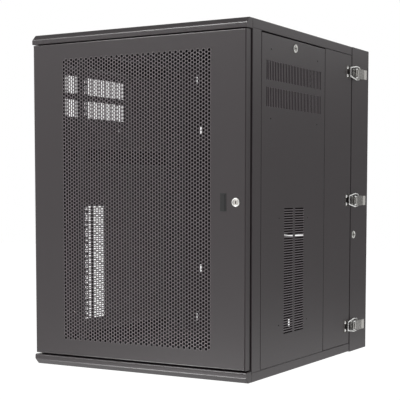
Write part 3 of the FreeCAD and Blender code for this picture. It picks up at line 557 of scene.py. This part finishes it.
def door_field():
    """The perforated middle of the door's front sheet, without thickness yet."""
    corner = Vector((-COLUMN_STEP * (COLUMNS - 1) / 2, door_low.y,
                     door_middle.z - HOLE_PITCH * (ROWS - 0.5) / 2))
    edge_ring(6, CELL, corner, (math.pi / 2, math.pi / 6, 0))
    field = bpy.context.object
    bpy.ops.object.transform_apply(location=True, rotation=True, scale=True)
    bpy.ops.object.mode_set(mode="EDIT")
    edge_ring(8, OCTAGON, corner, (math.pi / 2, math.pi / 8, 0))
    bpy.ops.mesh.select_all(action="SELECT")
    bpy.ops.mesh.bridge_edge_loops()
    bpy.ops.mesh.select_all(action="SELECT")
    bpy.ops.mesh.duplicate_move(
        TRANSFORM_OT_translate={"value": (COLUMN_STEP, 0, HOLE_PITCH / 2)})
    bpy.ops.object.mode_set(mode="OBJECT")
    repeated(field, (COLUMNS // 2, (2 * COLUMN_STEP, 0, 0)), (ROWS, (0, 0, HOLE_PITCH)))
    bpy.ops.object.mode_set(mode="EDIT")
    bpy.ops.mesh.select_all(action="SELECT")
    bpy.ops.mesh.remove_doubles(threshold=MERGE)
    faces_outward()
    bpy.ops.object.mode_set(mode="OBJECT")
    return field


field = door_field()
print("door holes:", COLUMNS * ROWS)

# %% [markdown]
# ## The door's pan
# Round the field the sheet is plain, and its edges are folded back with a soft radius
# and a narrow return. Cutting the field out with a Boolean would fray its zigzag outline.
# Instead that outline is copied, the door's own outline and the lock's hole are drawn
# beside it, and the sheet is filled between them, so field and border meet point for
# point.

# %% Door pan
DOOR_ROUND = 4 * MM
DOOR_RETURN = 12 * MM
DOOR_SHEET = 1.5 * MM
DOOR_LOCK_X = 304 * MM
LOCK_HOLE = 10.2 * MM
# the pan's foot hangs a little below its solid, which narrows the gap to the trim
DOOR_DOWN = 2 * MM
ON_LINE = 0.01 * MM
X, Y, Z = 0, 1, 2
TO_FRONT, TO_RIGHT = Vector((0, -1, 0)), Vector((1, 0, 0))


def on_outline(e, low, high, axes):
    """True for an edge that lies on a flat sheet's own outline."""
    spot = middle(e)
    return min(min(spot[k] - low[k], high[k] - spot[k]) for k in axes) < ON_LINE


def sheet_outline(centre, size, turn):
    """In edit mode, a rectangle of edges with a size along X, Y and Z."""
    bpy.ops.mesh.primitive_plane_add(size=1, location=centre, rotation=turn)
    bpy.ops.transform.resize(value=size, center_override=centre)
    bpy.ops.mesh.delete(type="ONLY_FACE")


def copied_outline(field):
    """The field's zigzag outline as a piece of its own, in edit mode."""
    activate(field)
    bpy.ops.object.mode_set(mode="EDIT")
    pick(field, "edges", lambda e: e.is_boundary and e.calc_length() > CELL * 0.8)
    bpy.ops.mesh.duplicate()
    bpy.ops.mesh.separate(type="SELECTED")
    face_towards(field, TO_FRONT)
    bpy.ops.object.mode_set(mode="OBJECT")
    outline = [item for item in bpy.context.selected_objects if item != field][0]
    activate(outline)
    bpy.ops.object.mode_set(mode="EDIT")
    return outline


def door_pan(field):
    """The blank border with its rounded edges and folded sides."""
    pan = copied_outline(field)
    low, high = door_low.copy(), door_high
    centre = Vector((door_middle.x, low.y, door_middle.z))
    wide, tall = high.x - low.x, high.z - low.z
    sheet_outline(centre, (wide, 1, tall), FACING_FRONT)
    edge_ring(32, LOCK_HOLE, (DOOR_LOCK_X, low.y, 0), FACING_FRONT)
    bpy.ops.mesh.select_all(action="SELECT")
    bpy.ops.mesh.fill()
    pick(pan, "edges", lambda e: e.is_boundary and on_outline(e, low, high, (X, Z)))
    bpy.ops.mesh.extrude_edges_move(
        TRANSFORM_OT_translate={"value": (0, high.y - low.y, 0)})
    bpy.ops.mesh.extrude_edges_move()
    bpy.ops.transform.resize(
        value=(1 - 2 * DOOR_RETURN / wide, 1, 1 - 2 * DOOR_RETURN / tall),
        center_override=(centre.x, high.y, centre.z))
    pick(pan, "verts", lambda v: v.co.z < low.z + DOOR_RETURN + 1 * MM)
    bpy.ops.transform.translate(value=(0, 0, -DOOR_DOWN))
    low.z -= DOOR_DOWN
    pick(pan, "edges", lambda e: on_outline(e, low, high, (X, Z))
         and abs(middle(e).y - low.y) < ON_LINE)
    bpy.ops.mesh.bevel(offset=DOOR_ROUND, segments=5, affect="EDGES")
    face_towards(pan, TO_FRONT)
    bpy.ops.object.mode_set(mode="OBJECT")
    return pan


pan = door_pan(field)
for piece in (field, pan):
    thicken(piece, DOOR_SHEET)
dress(pan, "door_pan", "door", outer_coat, ["door_skin"])
# the webs between the holes take the lighter coat, a painted highlight
dress(field, "door_perforation", "door", field_painted_highlight_coat)

# %% [markdown]
# ## The side panels' slots
# Each side panel has two rows of upright slots near the top and two columns of short
# level slots below, all punched with slightly rounded corners. They could be cut with
# Booleans, one by one. It is quicker and cleaner to draw the outline of one slot of
# each kind, repeat it with arrays, and fill the sheet between all outlines at once.

# %% Slots
UPRIGHT_SLOTS, UPRIGHT_WIDE, UPRIGHT_TALL = 36, 6.2 * MM, 50 * MM
UPRIGHT_NEAR, UPRIGHT_LONG = -702 * MM, 340 * MM
UPRIGHT_LOW, UPRIGHT_STEP = 244 * MM, 68 * MM
LEVEL_SLOTS, LEVEL_LONG, LEVEL_TALL = 51, 56 * MM, 3.8 * MM
LEVEL_NEAR, LEVEL_STEP = -594 * MM, 68 * MM
LEVEL_TOP, LEVEL_RUN = -17 * MM, 336 * MM
UPRIGHT_CORNER, LEVEL_CORNER = 1.5 * MM, 1.2 * MM
PANEL_GAP = Vector((0, 0.7, 1.0)) * MM
FACING_RIGHT = (0, math.pi / 2, 0)

panel_low, panel_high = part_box("right_side_panel")
panel_low.y += PANEL_GAP.y
panel_high -= PANEL_GAP
panel_x = panel_high.x


def slot_outline(low, size, corner):
    """One slot outline in the plane of the right side, its corners a little round."""
    centre = Vector((panel_x, low[0] + size[0] / 2, low[1] + size[1] / 2))
    bpy.ops.mesh.primitive_plane_add(size=1, location=centre, rotation=FACING_RIGHT)
    slot = bpy.context.object
    bpy.ops.object.mode_set(mode="EDIT")
    bpy.ops.transform.resize(value=(1, size[0], size[1]), center_override=centre)
    bpy.ops.mesh.bevel(offset=corner, segments=2, affect="VERTICES")
    bpy.ops.mesh.delete(type="ONLY_FACE")
    bpy.ops.object.mode_set(mode="OBJECT")
    place_in_mesh(slot)
    return slot


def upright_slots():
    """The two rows of upright slots."""
    pitch = (UPRIGHT_LONG - UPRIGHT_WIDE) / (UPRIGHT_SLOTS - 1)
    slot = slot_outline((UPRIGHT_NEAR, UPRIGHT_LOW), (UPRIGHT_WIDE, UPRIGHT_TALL),
                        UPRIGHT_CORNER)
    return repeated(slot, (UPRIGHT_SLOTS, (0, pitch, 0)), (2, (0, 0, UPRIGHT_STEP)))


def level_slots():
    """The two columns of level slots."""
    pitch = (LEVEL_RUN - LEVEL_TALL) / (LEVEL_SLOTS - 1)
    slot = slot_outline((LEVEL_NEAR, LEVEL_TOP - LEVEL_RUN), (LEVEL_LONG, LEVEL_TALL),
                        LEVEL_CORNER)
    return repeated(slot, (2, (0, LEVEL_STEP, 0)), (LEVEL_SLOTS, (0, 0, pitch)))


slots = [upright_slots(), level_slots()]
print("slots in each panel:", 2 * (UPRIGHT_SLOTS + LEVEL_SLOTS))

# %% [markdown]
# ## The side panels
# Each panel is one sheet with its edges folded in, a lock hole, and a few small holes
# left for fan screws. A fold is an extruded edge, its radius is a bevel, and Solidify
# gives the sheet its thickness at the end, so that it stays even round the folds. The
# left panel is the right one mirrored, with its normals recalculated, because a mirror
# turns a mesh inside out.

# %% Right panel
PANEL_SHEET = 1.0 * MM
PANEL_RETURN = 12 * MM
PANEL_ROUND = 1.6 * MM
SCREW_HOLE = 2.2 * MM
# places towards the wall and up, in millimetres
SCREW_HOLES = [(-676, 391), (-677, 214), (-387, 214), (-385, 389),
               (-624, -43.5), (-445.5, -44), (-624, -327), (-446, -327)]


def side_panel(slots):
    """The right side panel round its slots."""
    size = panel_high - panel_low
    centre = Vector((panel_x, panel_low.y + size.y / 2, panel_low.z + size.z / 2))
    bpy.ops.mesh.primitive_plane_add(size=1, location=centre, rotation=FACING_RIGHT)
    panel = bpy.context.object
    bpy.ops.object.mode_set(mode="EDIT")
    bpy.ops.transform.resize(value=(1, size.y, size.z), center_override=centre)
    bpy.ops.mesh.delete(type="ONLY_FACE")
    lock_low, lock_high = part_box("right_panel_lock_housing")
    lock = (lock_low + lock_high) / 2
    edge_ring(24, LOCK_HOLE, (panel_x, lock.y, lock.z), FACING_RIGHT)
    for y, z in SCREW_HOLES:
        edge_ring(10, SCREW_HOLE, (panel_x, y * MM, z * MM), FACING_RIGHT)
    bpy.ops.object.mode_set(mode="OBJECT")
    place_in_mesh(panel)
    join([panel, *slots])
    bpy.ops.object.mode_set(mode="EDIT")
    bpy.ops.mesh.select_all(action="SELECT")
    bpy.ops.mesh.fill()
    return panel


def folded_back(panel):
    """Fold the panel's edges in, round the folds and give the sheet its thickness."""
    pick(panel, "edges",
         lambda e: e.is_boundary and on_outline(e, panel_low, panel_high, (Y, Z)))
    bpy.ops.mesh.extrude_edges_move(
        TRANSFORM_OT_translate={"value": (-PANEL_RETURN, 0, 0)})
    pick(panel, "edges", lambda e: on_outline(e, panel_low, panel_high, (Y, Z))
         and abs(middle(e).x - panel_x) < ON_LINE)
    bpy.ops.mesh.bevel(offset=PANEL_ROUND, segments=3, affect="EDGES")
    face_towards(panel, TO_RIGHT)
    bpy.ops.object.mode_set(mode="OBJECT")
    thicken(panel, PANEL_SHEET)
    return panel


right_panel = folded_back(side_panel(slots))
print("right panel in mm:", [round(v / MM) for v in right_panel.dimensions])


# %% Both panels
def mirrored(piece):
    """A copy of a piece mirrored to the other side of the cabinet."""
    activate(piece)
    bpy.ops.object.duplicate()
    copy = bpy.context.object
    bpy.ops.transform.resize(value=(-1, 1, 1), center_override=(0, 0, 0))
    place_in_mesh(copy)
    bpy.ops.object.mode_set(mode="EDIT")
    faces_outward()
    bpy.ops.object.mode_set(mode="OBJECT")
    return copy


left_panel = mirrored(right_panel)
dress(right_panel, "right_vented_panel", "right_panel", outer_coat,
      ["right_side_panel"])
dress(left_panel, "left_vented_panel", "left_panel", outer_coat,
      ["left_side_panel"])


# %% [markdown]
# The webs between the slots take the lighter tone, a painted highlight for the light
# that their cut edges catch. The panel could be split there, but a second material on the
# same mesh keeps it one sheet.


# %% The webs between the slots
def in_vents(spot):
    """True for a spot on a panel between the slots of one block."""
    upright = any(low < spot.z < low + UPRIGHT_TALL
                  for low in (UPRIGHT_LOW, UPRIGHT_LOW + UPRIGHT_STEP))
    level = any(near < spot.y < near + LEVEL_LONG
                for near in (LEVEL_NEAR, LEVEL_NEAR + LEVEL_STEP))
    return (upright and UPRIGHT_NEAR < spot.y < UPRIGHT_NEAR + UPRIGHT_LONG
            or level and LEVEL_TOP - LEVEL_RUN < spot.z < LEVEL_TOP)


for piece in (right_panel, left_panel):
    # the webs between the slots get the coat with the painted highlight
    piece.data.materials.append(slot_painted_highlight_coat)
    webs = [face for face in piece.data.polygons if in_vents(face.center)]
    for face in webs:
        face.material_index = 1
    print(piece.name, "has", len(webs), "faces between its slots")

# %% [markdown]
# ## Folded sheet parts
# A press brake leaves a rounded fold, about as wide outside as the sheet is thick. The
# CAD parts have sharp folds, which catch no light. A bevel on every edge would also
# round the square cut edges. So a copy of each part is merged, its flat faces are joined
# up, and only the folds are bevelled: the sharp outer edges between two faces wider than
# the sheet. The bottom trim's lip is also raised a little towards the door.

# %% Rounded folds
FOLD_ROUND, TRIM_ROUND = 1.6 * MM, 1.8 * MM
FOLD_LONG, FOLD_WIDE, FOLD_SHARP = 12 * MM, 3 * MM, math.radians(30)
TRIM_UP = 2 * MM
ROUNDED = ["top_cover", "bottom_cover", "top_trim", "bottom_trim", "left_front_post",
           "right_front_post", "front_header", "front_sill", "left_side_strip",
           "right_side_strip", "wall_left_side", "wall_right_side", "wall_top",
           "wall_bottom", "rack_rail_front_left", "rack_rail_front_right",
           "rack_rail_rear_left", "rack_rail_rear_right"]


def merged_copy(node):
    """A free copy of a CAD node with its corners merged and its flat faces joined."""
    activate(NODES[node])
    bpy.ops.object.duplicate()
    copy = bpy.context.object
    world = copy.matrix_world.copy()
    copy.parent = None
    copy.matrix_world = world
    for key in list(copy.keys()):
        del copy[key]
    bpy.ops.object.mode_set(mode="EDIT")
    bpy.ops.mesh.select_all(action="SELECT")
    bpy.ops.mesh.remove_doubles(threshold=0.002 * MM)
    bpy.ops.mesh.dissolve_limited(angle_limit=math.radians(1))
    bpy.ops.object.mode_set(mode="OBJECT")
    return copy


def is_fold(e):
    """True for a sharp outer edge between two faces wider than the sheet."""
    if len(e.link_faces) != 2 or not e.is_convex:
        return False
    long = e.calc_length()
    wide = min(face.calc_area() for face in e.link_faces) / long
    return long > FOLD_LONG and wide > FOLD_WIDE and e.calc_face_angle() > FOLD_SHARP


def raise_lip(copy, node):
    """In edit mode, raise a trim's upper edge and draw its front slope out."""
    low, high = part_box(node)
    pick(copy, "verts", lambda v: v.co.z > high.z - 0.5 * MM)
    bpy.ops.transform.translate(value=(0, 0, TRIM_UP))
    pick(copy, "verts", lambda v: v.co.z > high.z and v.co.y < low.y + 1.5 * MM)
    bpy.ops.transform.translate(value=(0, TRIM_UP, 0))


def fold_rounded(node):
    """A copy of a sheet part with its outer folds rounded."""
    copy = merged_copy(node)
    bpy.ops.object.mode_set(mode="EDIT")
    if node == "bottom_trim":
        raise_lip(copy, node)
    pick(copy, "edges", is_fold)
    folds = sum(e.select for e in bmesh.from_edit_mesh(copy.data).edges)
    radius = TRIM_ROUND if node.endswith("trim") else FOLD_ROUND
    bpy.ops.mesh.bevel(offset=radius, segments=3, affect="EDGES")
    bpy.ops.object.mode_set(mode="OBJECT")
    body = NODES[node]["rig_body"]
    dress(copy, node + "_rounded", body, FINISHES[SLOT_OF[node]], [node])
    return folds


for node in ROUNDED:
    print(node, "folds rounded:", fold_rounded(node))

# %% [markdown]
# ## Lines between the sheets
# Where two sheets meet, the real cabinet shows a thin dark line, and a wider groove
# where the body meets the wall section. Dark lines could be painted, but real gaps
# follow the light. So the rear frame's outer edge is set in for the groove, and the
# fixed side strips are a little shorter than their solids.

# %% Seam groove and strip edges
SEAM_IN = 3 * MM
STRIP_IN = 1.4 * MM
STRIP_END = 3 * MM


def seam_ring():
    """The rear frame with its outer edge set in, which leaves a groove at the seam."""
    ring = merged_copy("rear_frame")
    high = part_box("rear_frame")[1]
    bpy.ops.object.mode_set(mode="EDIT")
    pick(ring, "verts", lambda v: high.x - abs(v.co.x) < 0.1 * MM)
    bpy.ops.transform.resize(
        value=(1 - SEAM_IN / high.x, 1, 1 - SEAM_IN / high.z),
        center_override=(0, high.y, 0))
    bpy.ops.object.mode_set(mode="OBJECT")
    # the ring takes the inner coat, darkened as painted shade
    return dress(ring, "rear_frame_ring", "cabinet_body", inner_coat,
                 ["rear_frame"])


def set_in_strip(side):
    """Shorten a rounded side strip a little, so that a line shows round it."""
    strip = bpy.data.objects[side + "_side_strip_rounded"]
    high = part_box(side + "_side_strip")[1]
    activate(strip)
    bpy.ops.object.mode_set(mode="EDIT")
    for way in (-1, 1):
        pick(strip, "verts", lambda v: v.co.z * way > high.z - STRIP_END)
        bpy.ops.transform.translate(value=(0, 0, -way * STRIP_IN))
    pick(strip, "verts", lambda v: v.co.y > high.y - STRIP_END)
    bpy.ops.transform.translate(value=(0, -STRIP_IN, 0))
    bpy.ops.object.mode_set(mode="OBJECT")


seam_ring()
for side in ("left", "right"):
    set_in_strip(side)
print("seam groove", round(SEAM_IN / MM, 1), "mm, strip lines", round(STRIP_IN / MM, 1), "mm")

# %% [markdown]
# ## Key locks
# Four cam locks of one kind: a plated ring with a sunken plug and a narrow keyhole, both
# turned on a lathe. A profile could be spun round an axis; here one circle is extruded
# and scaled along the same profile, which closes the ends by itself. The keyhole is cut
# with a long oval.


# %% Turned pieces
def turned(rings, count=48):
    """A round solid along +Z through rings of (radius, height) in millimetres."""
    radius, height = rings[0]
    bpy.ops.object.select_all(action="DESELECT")
    bpy.ops.mesh.primitive_circle_add(vertices=count, radius=radius * MM,
                                      location=(0, 0, height * MM), fill_type="NGON")
    made = bpy.context.object
    place_in_mesh(made)
    bpy.ops.object.mode_set(mode="EDIT")
    bpy.ops.mesh.select_all(action="SELECT")
    for wide, level in rings[1:]:
        bpy.ops.mesh.extrude_region_move(
            TRANSFORM_OT_translate={"value": (0, 0, (level - height) * MM)})
        grow = wide / radius
        bpy.ops.transform.resize(value=(grow, grow, 1), center_override=(0, 0, level * MM))
        radius, height = wide, level
    faces_outward()
    bpy.ops.object.mode_set(mode="OBJECT")
    return made


def cut_with(piece, cutter):
    """Cut one piece with another, which is used up."""
    modify(piece, "BOOLEAN", object=cutter, operation="DIFFERENCE", solver="EXACT")
    bpy.data.objects.remove(cutter)
    return piece


def set_at(piece, place, turn):
    """Turn a piece made at the origin and move it to its place in millimetres."""
    piece.rotation_euler = turn
    piece.location = Vector(place) * MM
    place_in_mesh(piece)
    return piece


# %% Locks
FACING_LEFT = (0, -math.pi / 2, 0)
BARREL = 9.4
RING_PROFILE = [(11.1, 0), (11.3, 0.4), (11.3, 1.3), (11.0, 2.0), (10.4, 2.6), (9.4, 2.7),
                (8.5, 2.3), (7.9, 1.4), (7.7, 0.4), (6.5, 0.4), (6.5, -7)]
PLUG_PROFILE = [(6.4, 0.5), (7.2, 0.7), (7.2, 1.3), (6.8, 1.6), (2.5, 1.7)]
PLUG_WIDE, STEM_WIDE, STEM_LONG = 6.4, 4, 6.5
KEYHOLE, KEYHOLE_DEEP, KEYHOLE_NARROW = 4.2, 14, 0.4
# the ring's barrel ends just before the cam
RING_SHORT = 0.3
# name, body, place, turn, depth behind the face
LOCKS = [("door_lock", "door", (304, -810, 0), FACING_FRONT, 34),
         ("right_panel_lock", "right_panel", (334, -532, 408), FACING_RIGHT, 18),
         ("left_panel_lock", "left_panel", (-334, -532, 408), FACING_LEFT, 18),
         ("wall_lock", "wall_section", (334, -110, -103), FACING_RIGHT, 18)]


def lock_ring(deep):
    """The barrel and the polished ring, open in the middle."""
    return turned([(BARREL, -deep), (BARREL, 0), *RING_PROFILE])


def lock_plug(deep):
    """The plug with its oval keyhole and the stem behind."""
    plug = turned([(STEM_WIDE, -deep - STEM_LONG), (STEM_WIDE, -deep), (PLUG_WIDE, -deep),
                   *PLUG_PROFILE], 32)
    hole = turned([(KEYHOLE, -KEYHOLE_DEEP), (KEYHOLE, 4)], 24)
    hole.scale = (KEYHOLE_NARROW, 1, 1)
    place_in_mesh(hole)
    return cut_with(plug, hole)


for name, body, place, turn, deep in LOCKS:
    ring = set_at(lock_ring(deep - RING_SHORT), place, turn)
    dress(ring, name + "_ring", body, ring_chrome, [name + "_housing"])
    plug = set_at(lock_plug(deep), place, turn)
    dress(plug, name + "_core", name, satin_zinc, [name + "_plug"])

# %% [markdown]
# ## Draw latches
# Each latch is four pieces: a base with two ears, a bent lever with a finger lip, a wire
# bail, and the strike that it hooks over, with two screws. Throwing the lever pulls the
# bail tight. A box could be carved to each shape, but bent sheet is easier to make as it
# is really made: one upright edge is extruded along the bends, and Solidify makes it a
# sheet. One latch is made in the middle and copied to its three places.

# %% Latch sizes
# everything about the latches is in millimetres from the middle of the wall
PIVOT = Vector((343, -119, 0))
BAIL_PIVOT = Vector((341.6, -94, 0))


def upright_edge(place, wide):
    """One upright edge, from which a sheet is bent."""
    bpy.ops.object.select_all(action="DESELECT")
    bpy.ops.mesh.primitive_plane_add(size=1)
    made = bpy.context.object
    bpy.ops.object.mode_set(mode="EDIT")
    pick(made, "verts", lambda v: v.co.x > 0)
    bpy.ops.mesh.delete(type="VERT")
    bpy.ops.mesh.select_all(action="SELECT")
    bpy.ops.transform.translate(value=(0.5, 0, 0))
    bpy.ops.object.mode_set(mode="OBJECT")
    made.scale = (1, wide * MM, 1)
    return set_at(made, place, (math.pi / 2, 0, 0))


def run_on(*step):
    """Extrude the selected edge by a step in millimetres."""
    bpy.ops.mesh.extrude_edges_move(
        TRANSFORM_OT_translate={"value": [v * MM for v in step]})


def widen(share):
    """Make the selected edge wider or narrower about the middle of the latch."""
    bpy.ops.transform.resize(value=(1, 1, share), center_override=(0, 0, 0))


print("lever pivot to bail pivot:", round((BAIL_PIVOT - PIVOT).length, 1), "mm")

# %% [markdown]
# The lever is a pressing. Its tongue curls round the pivot pin, two cheeks hold the
# bail, and the handle narrows to a lip for the finger. The curl is spun round the pivot,
# and the cheeks are extruded from the sides of the same sheet, as a press folds them.

# %% Lever
TONGUE_WIDE, LEVER_WIDE, HANDLE_WIDE, LEVER_SHEET = 19.5, 29.6, 28.0, 1.4
LEVER_TOP = 349.5
CURL, CURL_STEPS = math.radians(135), 9
TONGUE_RUN, SHOULDER_RUN, CHEEK_RUN, TAPER_RUN = 5, 4, 22, 13
LIP_STEPS = ((0.4, 1.6), (1.3, 5.4), (1.3, 5.2), (0.3, 1.4))
CHEEK_DEEP, CHEEK_CUT = 11, 9.4
CHEEK_NEAR = PIVOT.y + TONGUE_RUN + SHOULDER_RUN
CHEEK_FAR = CHEEK_NEAR + CHEEK_RUN + TAPER_RUN
LEVER_EDGE = 0.45


def lever_sheet():
    """The lever's sheet from its curled tongue to its lip, in edit mode."""
    reach = LEVER_TOP - PIVOT.x
    start = PIVOT + Vector((-reach, -reach, 0)) * math.cos(math.pi / 4)
    lever = upright_edge(start, TONGUE_WIDE)
    bpy.ops.object.mode_set(mode="EDIT")
    bpy.ops.mesh.select_all(action="SELECT")
    bpy.ops.mesh.spin(steps=CURL_STEPS, angle=-CURL, center=PIVOT * MM, axis=(0, 0, 1))
    run_on(0, TONGUE_RUN, 0)
    run_on(0, SHOULDER_RUN, 0)
    widen(LEVER_WIDE / TONGUE_WIDE)
    run_on(0, CHEEK_RUN, 0)
    run_on(0, TAPER_RUN, 0)
    widen(HANDLE_WIDE / LEVER_WIDE)
    for step in LIP_STEPS:
        run_on(*step, 0)
    return lever


def latch_lever():
    """The bent lever: curled tongue, flat middle with cheeks, and finger lip."""
    lever = lever_sheet()

    def on_side(e):
        spot = middle(e) / MM
        side = abs(spot.z) > HANDLE_WIDE / 2 - 0.5
        return e.is_boundary and side and CHEEK_NEAR < spot.y < CHEEK_FAR

    pick(lever, "edges", on_side)
    run_on(-CHEEK_DEEP, 0, 0)
    # the cheeks slope up to the handle
    pick(lever, "verts", lambda v: v.co.x < (LEVER_TOP - CHEEK_DEEP + 1) * MM
         and v.co.y > (CHEEK_FAR - 1) * MM)
    bpy.ops.transform.translate(value=(CHEEK_CUT * MM, 0, 0))
    face_towards(lever, TO_RIGHT)
    bpy.ops.object.mode_set(mode="OBJECT")
    thicken(lever, LEVER_SHEET * MM)
    modify(lever, "BEVEL", width=LEVER_EDGE * MM, segments=2, limit_method="ANGLE",
           angle_limit=math.radians(40))
    return lever


lever_shape = latch_lever()
print("lever in mm:", [round(v / MM, 1) for v in lever_shape.dimensions])

# %% [markdown]
# The bail is one bent wire. From each cheek it steps out, runs past the tongue, and
# closes over the strike's hook. Joined cylinders would show their joints, so it is a
# curve with a round bevel through its corners, each rounded by a short arc of points.

# %% Bail
WIRE, WIRE_BEND = 3.9, 4.5
# half the route: height from the middle, and way to the front from the bail's pivot
BAIL_HALF = [(13.7, 0), (17.1, 0), (19.25, -20), (12.25, -69)]
# a bend may use up a little less than half of the straight run beside it
RUN_SHARE = 2.2


def bent_wire(corners, thick, bend, steps=5):
    """Round wire through corners in millimetres, each bent to a radius."""
    spots = [Vector(c) for c in corners]
    route = [spots[0]]
    for before, corner, after in zip(spots, spots[1:], spots[2:]):
        way_in, way_out = (before - corner).normalized(), (after - corner).normalized()
        half = way_in.angle(way_out) / 2
        back = min(bend / math.tan(half), (after - corner).length / RUN_SHARE,
                   (before - corner).length / RUN_SHARE)
        first, last = corner + way_in * back, corner + way_out * back
        for k in range(steps + 1):
            share = k / steps
            route.append(first.lerp(corner, share).lerp(corner.lerp(last, share), share))
    route.append(spots[-1])
    bpy.ops.object.select_all(action="DESELECT")
    bpy.ops.curve.primitive_bezier_curve_add()
    wire = bpy.context.object
    wire.data.splines.clear()
    line = wire.data.splines.new("POLY")
    line.points.add(len(route) - 1)
    for point, spot in zip(line.points, route):
        point.co = (*(spot * MM), 1)
    wire.data.dimensions = "3D"
    wire.data.bevel_depth = thick / 2 * MM
    wire.data.bevel_resolution = 3
    wire.data.use_fill_caps = True
    activate(wire)
    bpy.ops.object.convert(target="MESH")
    return bpy.context.object


def latch_bail():
    """The wire loop from one cheek of the lever round the strike's hook to the other."""
    corners = BAIL_HALF + [(-z, y) for z, y in reversed(BAIL_HALF)]
    return bent_wire([(BAIL_PIVOT.x, BAIL_PIVOT.y + y, z) for z, y in corners],
                     WIRE, WIRE_BEND)


bail_shape = latch_bail()
print("bail in mm:", [round(v / MM, 1) for v in bail_shape.dimensions])

# %% [markdown]
# The strike is a small plate with an upturned hook. It is bent as the lever is, the
# hook's end is narrowed, and a recess is cut for the wire. Its two screws are turned
# like the locks and slotted crosswise.

# %% Strike
PANEL_SIDE, STRIKE_FRONT, STRIKE_HALF = 334, -177.5, 19.5
STRIKE_SHEET, STRIKE_HOOK, HOOK_SHARE = 1.2, 339.5, 0.6
STRIKE_STEPS = ((1.0, 0.2), (0.5, 0.8), (0, 13.2), (0.4, 0.9), (0.9, 0.7), (2.7, 0))
RECESS = ((333, -174.5, -6.5), (337, -165, 6.5))
SCREW_PROFILE = [(4.4, 0), (4.4, 0.5), (4.0, 1.2), (3.1, 1.9), (1.8, 2.3), (0.6, 2.4)]
SCREW_SLOT = ((-0.4, -2.2, 1.0), (0.4, 2.2, 3.0))
SCREW_PLACE, SCREW_APART = (335.4, -169.5), 11.3


def block(low, high):
    """A box between two corners in millimetres, to be shaped or cut with."""
    low, high = Vector(low) * MM, Vector(high) * MM
    bpy.ops.object.select_all(action="DESELECT")
    bpy.ops.mesh.primitive_cube_add(size=1, location=(low + high) / 2)
    made = bpy.context.object
    made.scale = high - low
    place_in_mesh(made)
    return made


def strike_plate():
    """The strike plate with its upturned hook and a recess."""
    plate = upright_edge((PANEL_SIDE, STRIKE_FRONT, 0), 2 * STRIKE_HALF)
    bpy.ops.object.mode_set(mode="EDIT")
    bpy.ops.mesh.select_all(action="SELECT")
    for step in STRIKE_STEPS:
        run_on(*step, 0)
    pick(plate, "verts", lambda v: v.co.x > (STRIKE_HOOK - 0.5) * MM)
    widen(HOOK_SHARE)
    face_towards(plate, TO_RIGHT)
    bpy.ops.object.mode_set(mode="OBJECT")
    thicken(plate, STRIKE_SHEET * MM)
    return cut_with(plate, block(*RECESS))


def strike_screws():
    """The strike's two domed screws with crossed slots."""
    screws = []
    for way in (-1, 1):
        screw = turned(SCREW_PROFILE, 24)
        for turn in (0, math.pi / 2):
            cut_with(screw, set_at(block(*SCREW_SLOT), (0, 0, 0), (0, 0, turn)))
        screws.append(set_at(screw, (*SCREW_PLACE, way * SCREW_APART), FACING_RIGHT))
    return join(screws)


plate_shape, screws_shape = strike_plate(), strike_screws()
print("strike in mm:", [round(v / MM, 1) for v in plate_shape.dimensions])

# %% [markdown]
# The three latches are alike, so the shapes are copied, each copy with its own mesh.
# Each lever and each bail rides on a body of its own; the strikes belong to the cabinet
# body, so all three become one piece. Strike and bail sit a little above the lever.

# %% Three latches
LATCH_HEIGHTS = {"top": 379, "middle": 0, "bottom": -379}
STRIKE_UP = 1.5


def copy_at(piece, place):
    """A copy of a finished shape, moved by a step in millimetres."""
    activate(piece)
    bpy.ops.object.duplicate()
    return set_at(bpy.context.object, place, (0, 0, 0))


plates, screw_pairs = [], []
for name, height in LATCH_HEIGHTS.items():
    lever = copy_at(lever_shape, (0, 0, height))
    bail = copy_at(bail_shape, (0, 0, height + STRIKE_UP))
    plates.append(copy_at(plate_shape, (0, 0, height + STRIKE_UP)))
    screw_pairs.append(copy_at(screws_shape, (0, 0, height + STRIKE_UP)))
    dress(lever, f"latch_{name}_lever", "latch_lever_" + name, zinc,
          ["latch_lever_" + name])
    dress(bail, f"latch_{name}_wire", "latch_bail_" + name, chrome,
          ["latch_bail_" + name])
# the strike plates take the darker zinc colour
dress(join(plates), "latch_strike_plates", "cabinet_body", dark_zinc,
      ["latch_strikes"])
dress(join(screw_pairs), "latch_strike_screws", "cabinet_body", chrome)
for shape in (plate_shape, screws_shape, lever_shape, bail_shape):
    bpy.data.objects.remove(shape)

# %% [markdown]
# ## Blank plate
# Such doors carry a small moulded plate beside the lock. Here it stays blank: a block is
# bevelled at its four corners, one plain groove is cut, and a last fine bevel takes the
# sharpness off.

# %% Blank plate
PLATE_BOX = ((259.5, -811.3, -23), (276, -809.9, 23))
GROOVE_BOX = ((271.6, -812, -21), (274.2, -810.5, 21))
PLATE_CORNER, PLATE_EDGE = 1.5 * MM, 0.25 * MM


def blank_plate():
    """A thin upright plate with a groove near its right edge."""
    plate = block(*PLATE_BOX)
    bpy.ops.object.mode_set(mode="EDIT")
    pick(plate, "edges", lambda e: abs(e.verts[0].co.y - e.verts[1].co.y) > 1 * MM)
    bpy.ops.mesh.bevel(offset=PLATE_CORNER, segments=3, affect="EDGES")
    bpy.ops.object.mode_set(mode="OBJECT")
    cut_with(plate, block(*GROOVE_BOX))
    modify(plate, "BEVEL", width=PLATE_EDGE, segments=2, limit_method="ANGLE",
           angle_limit=math.radians(50))
    return plate


dress(blank_plate(), "blank_name_plate", "door", black_plastic)

# %% [markdown]
# ## Finish
# The standard view keeps each colour as it was written.

# %% Finish
bpy.context.scene.view_settings.view_transform = "Standard"
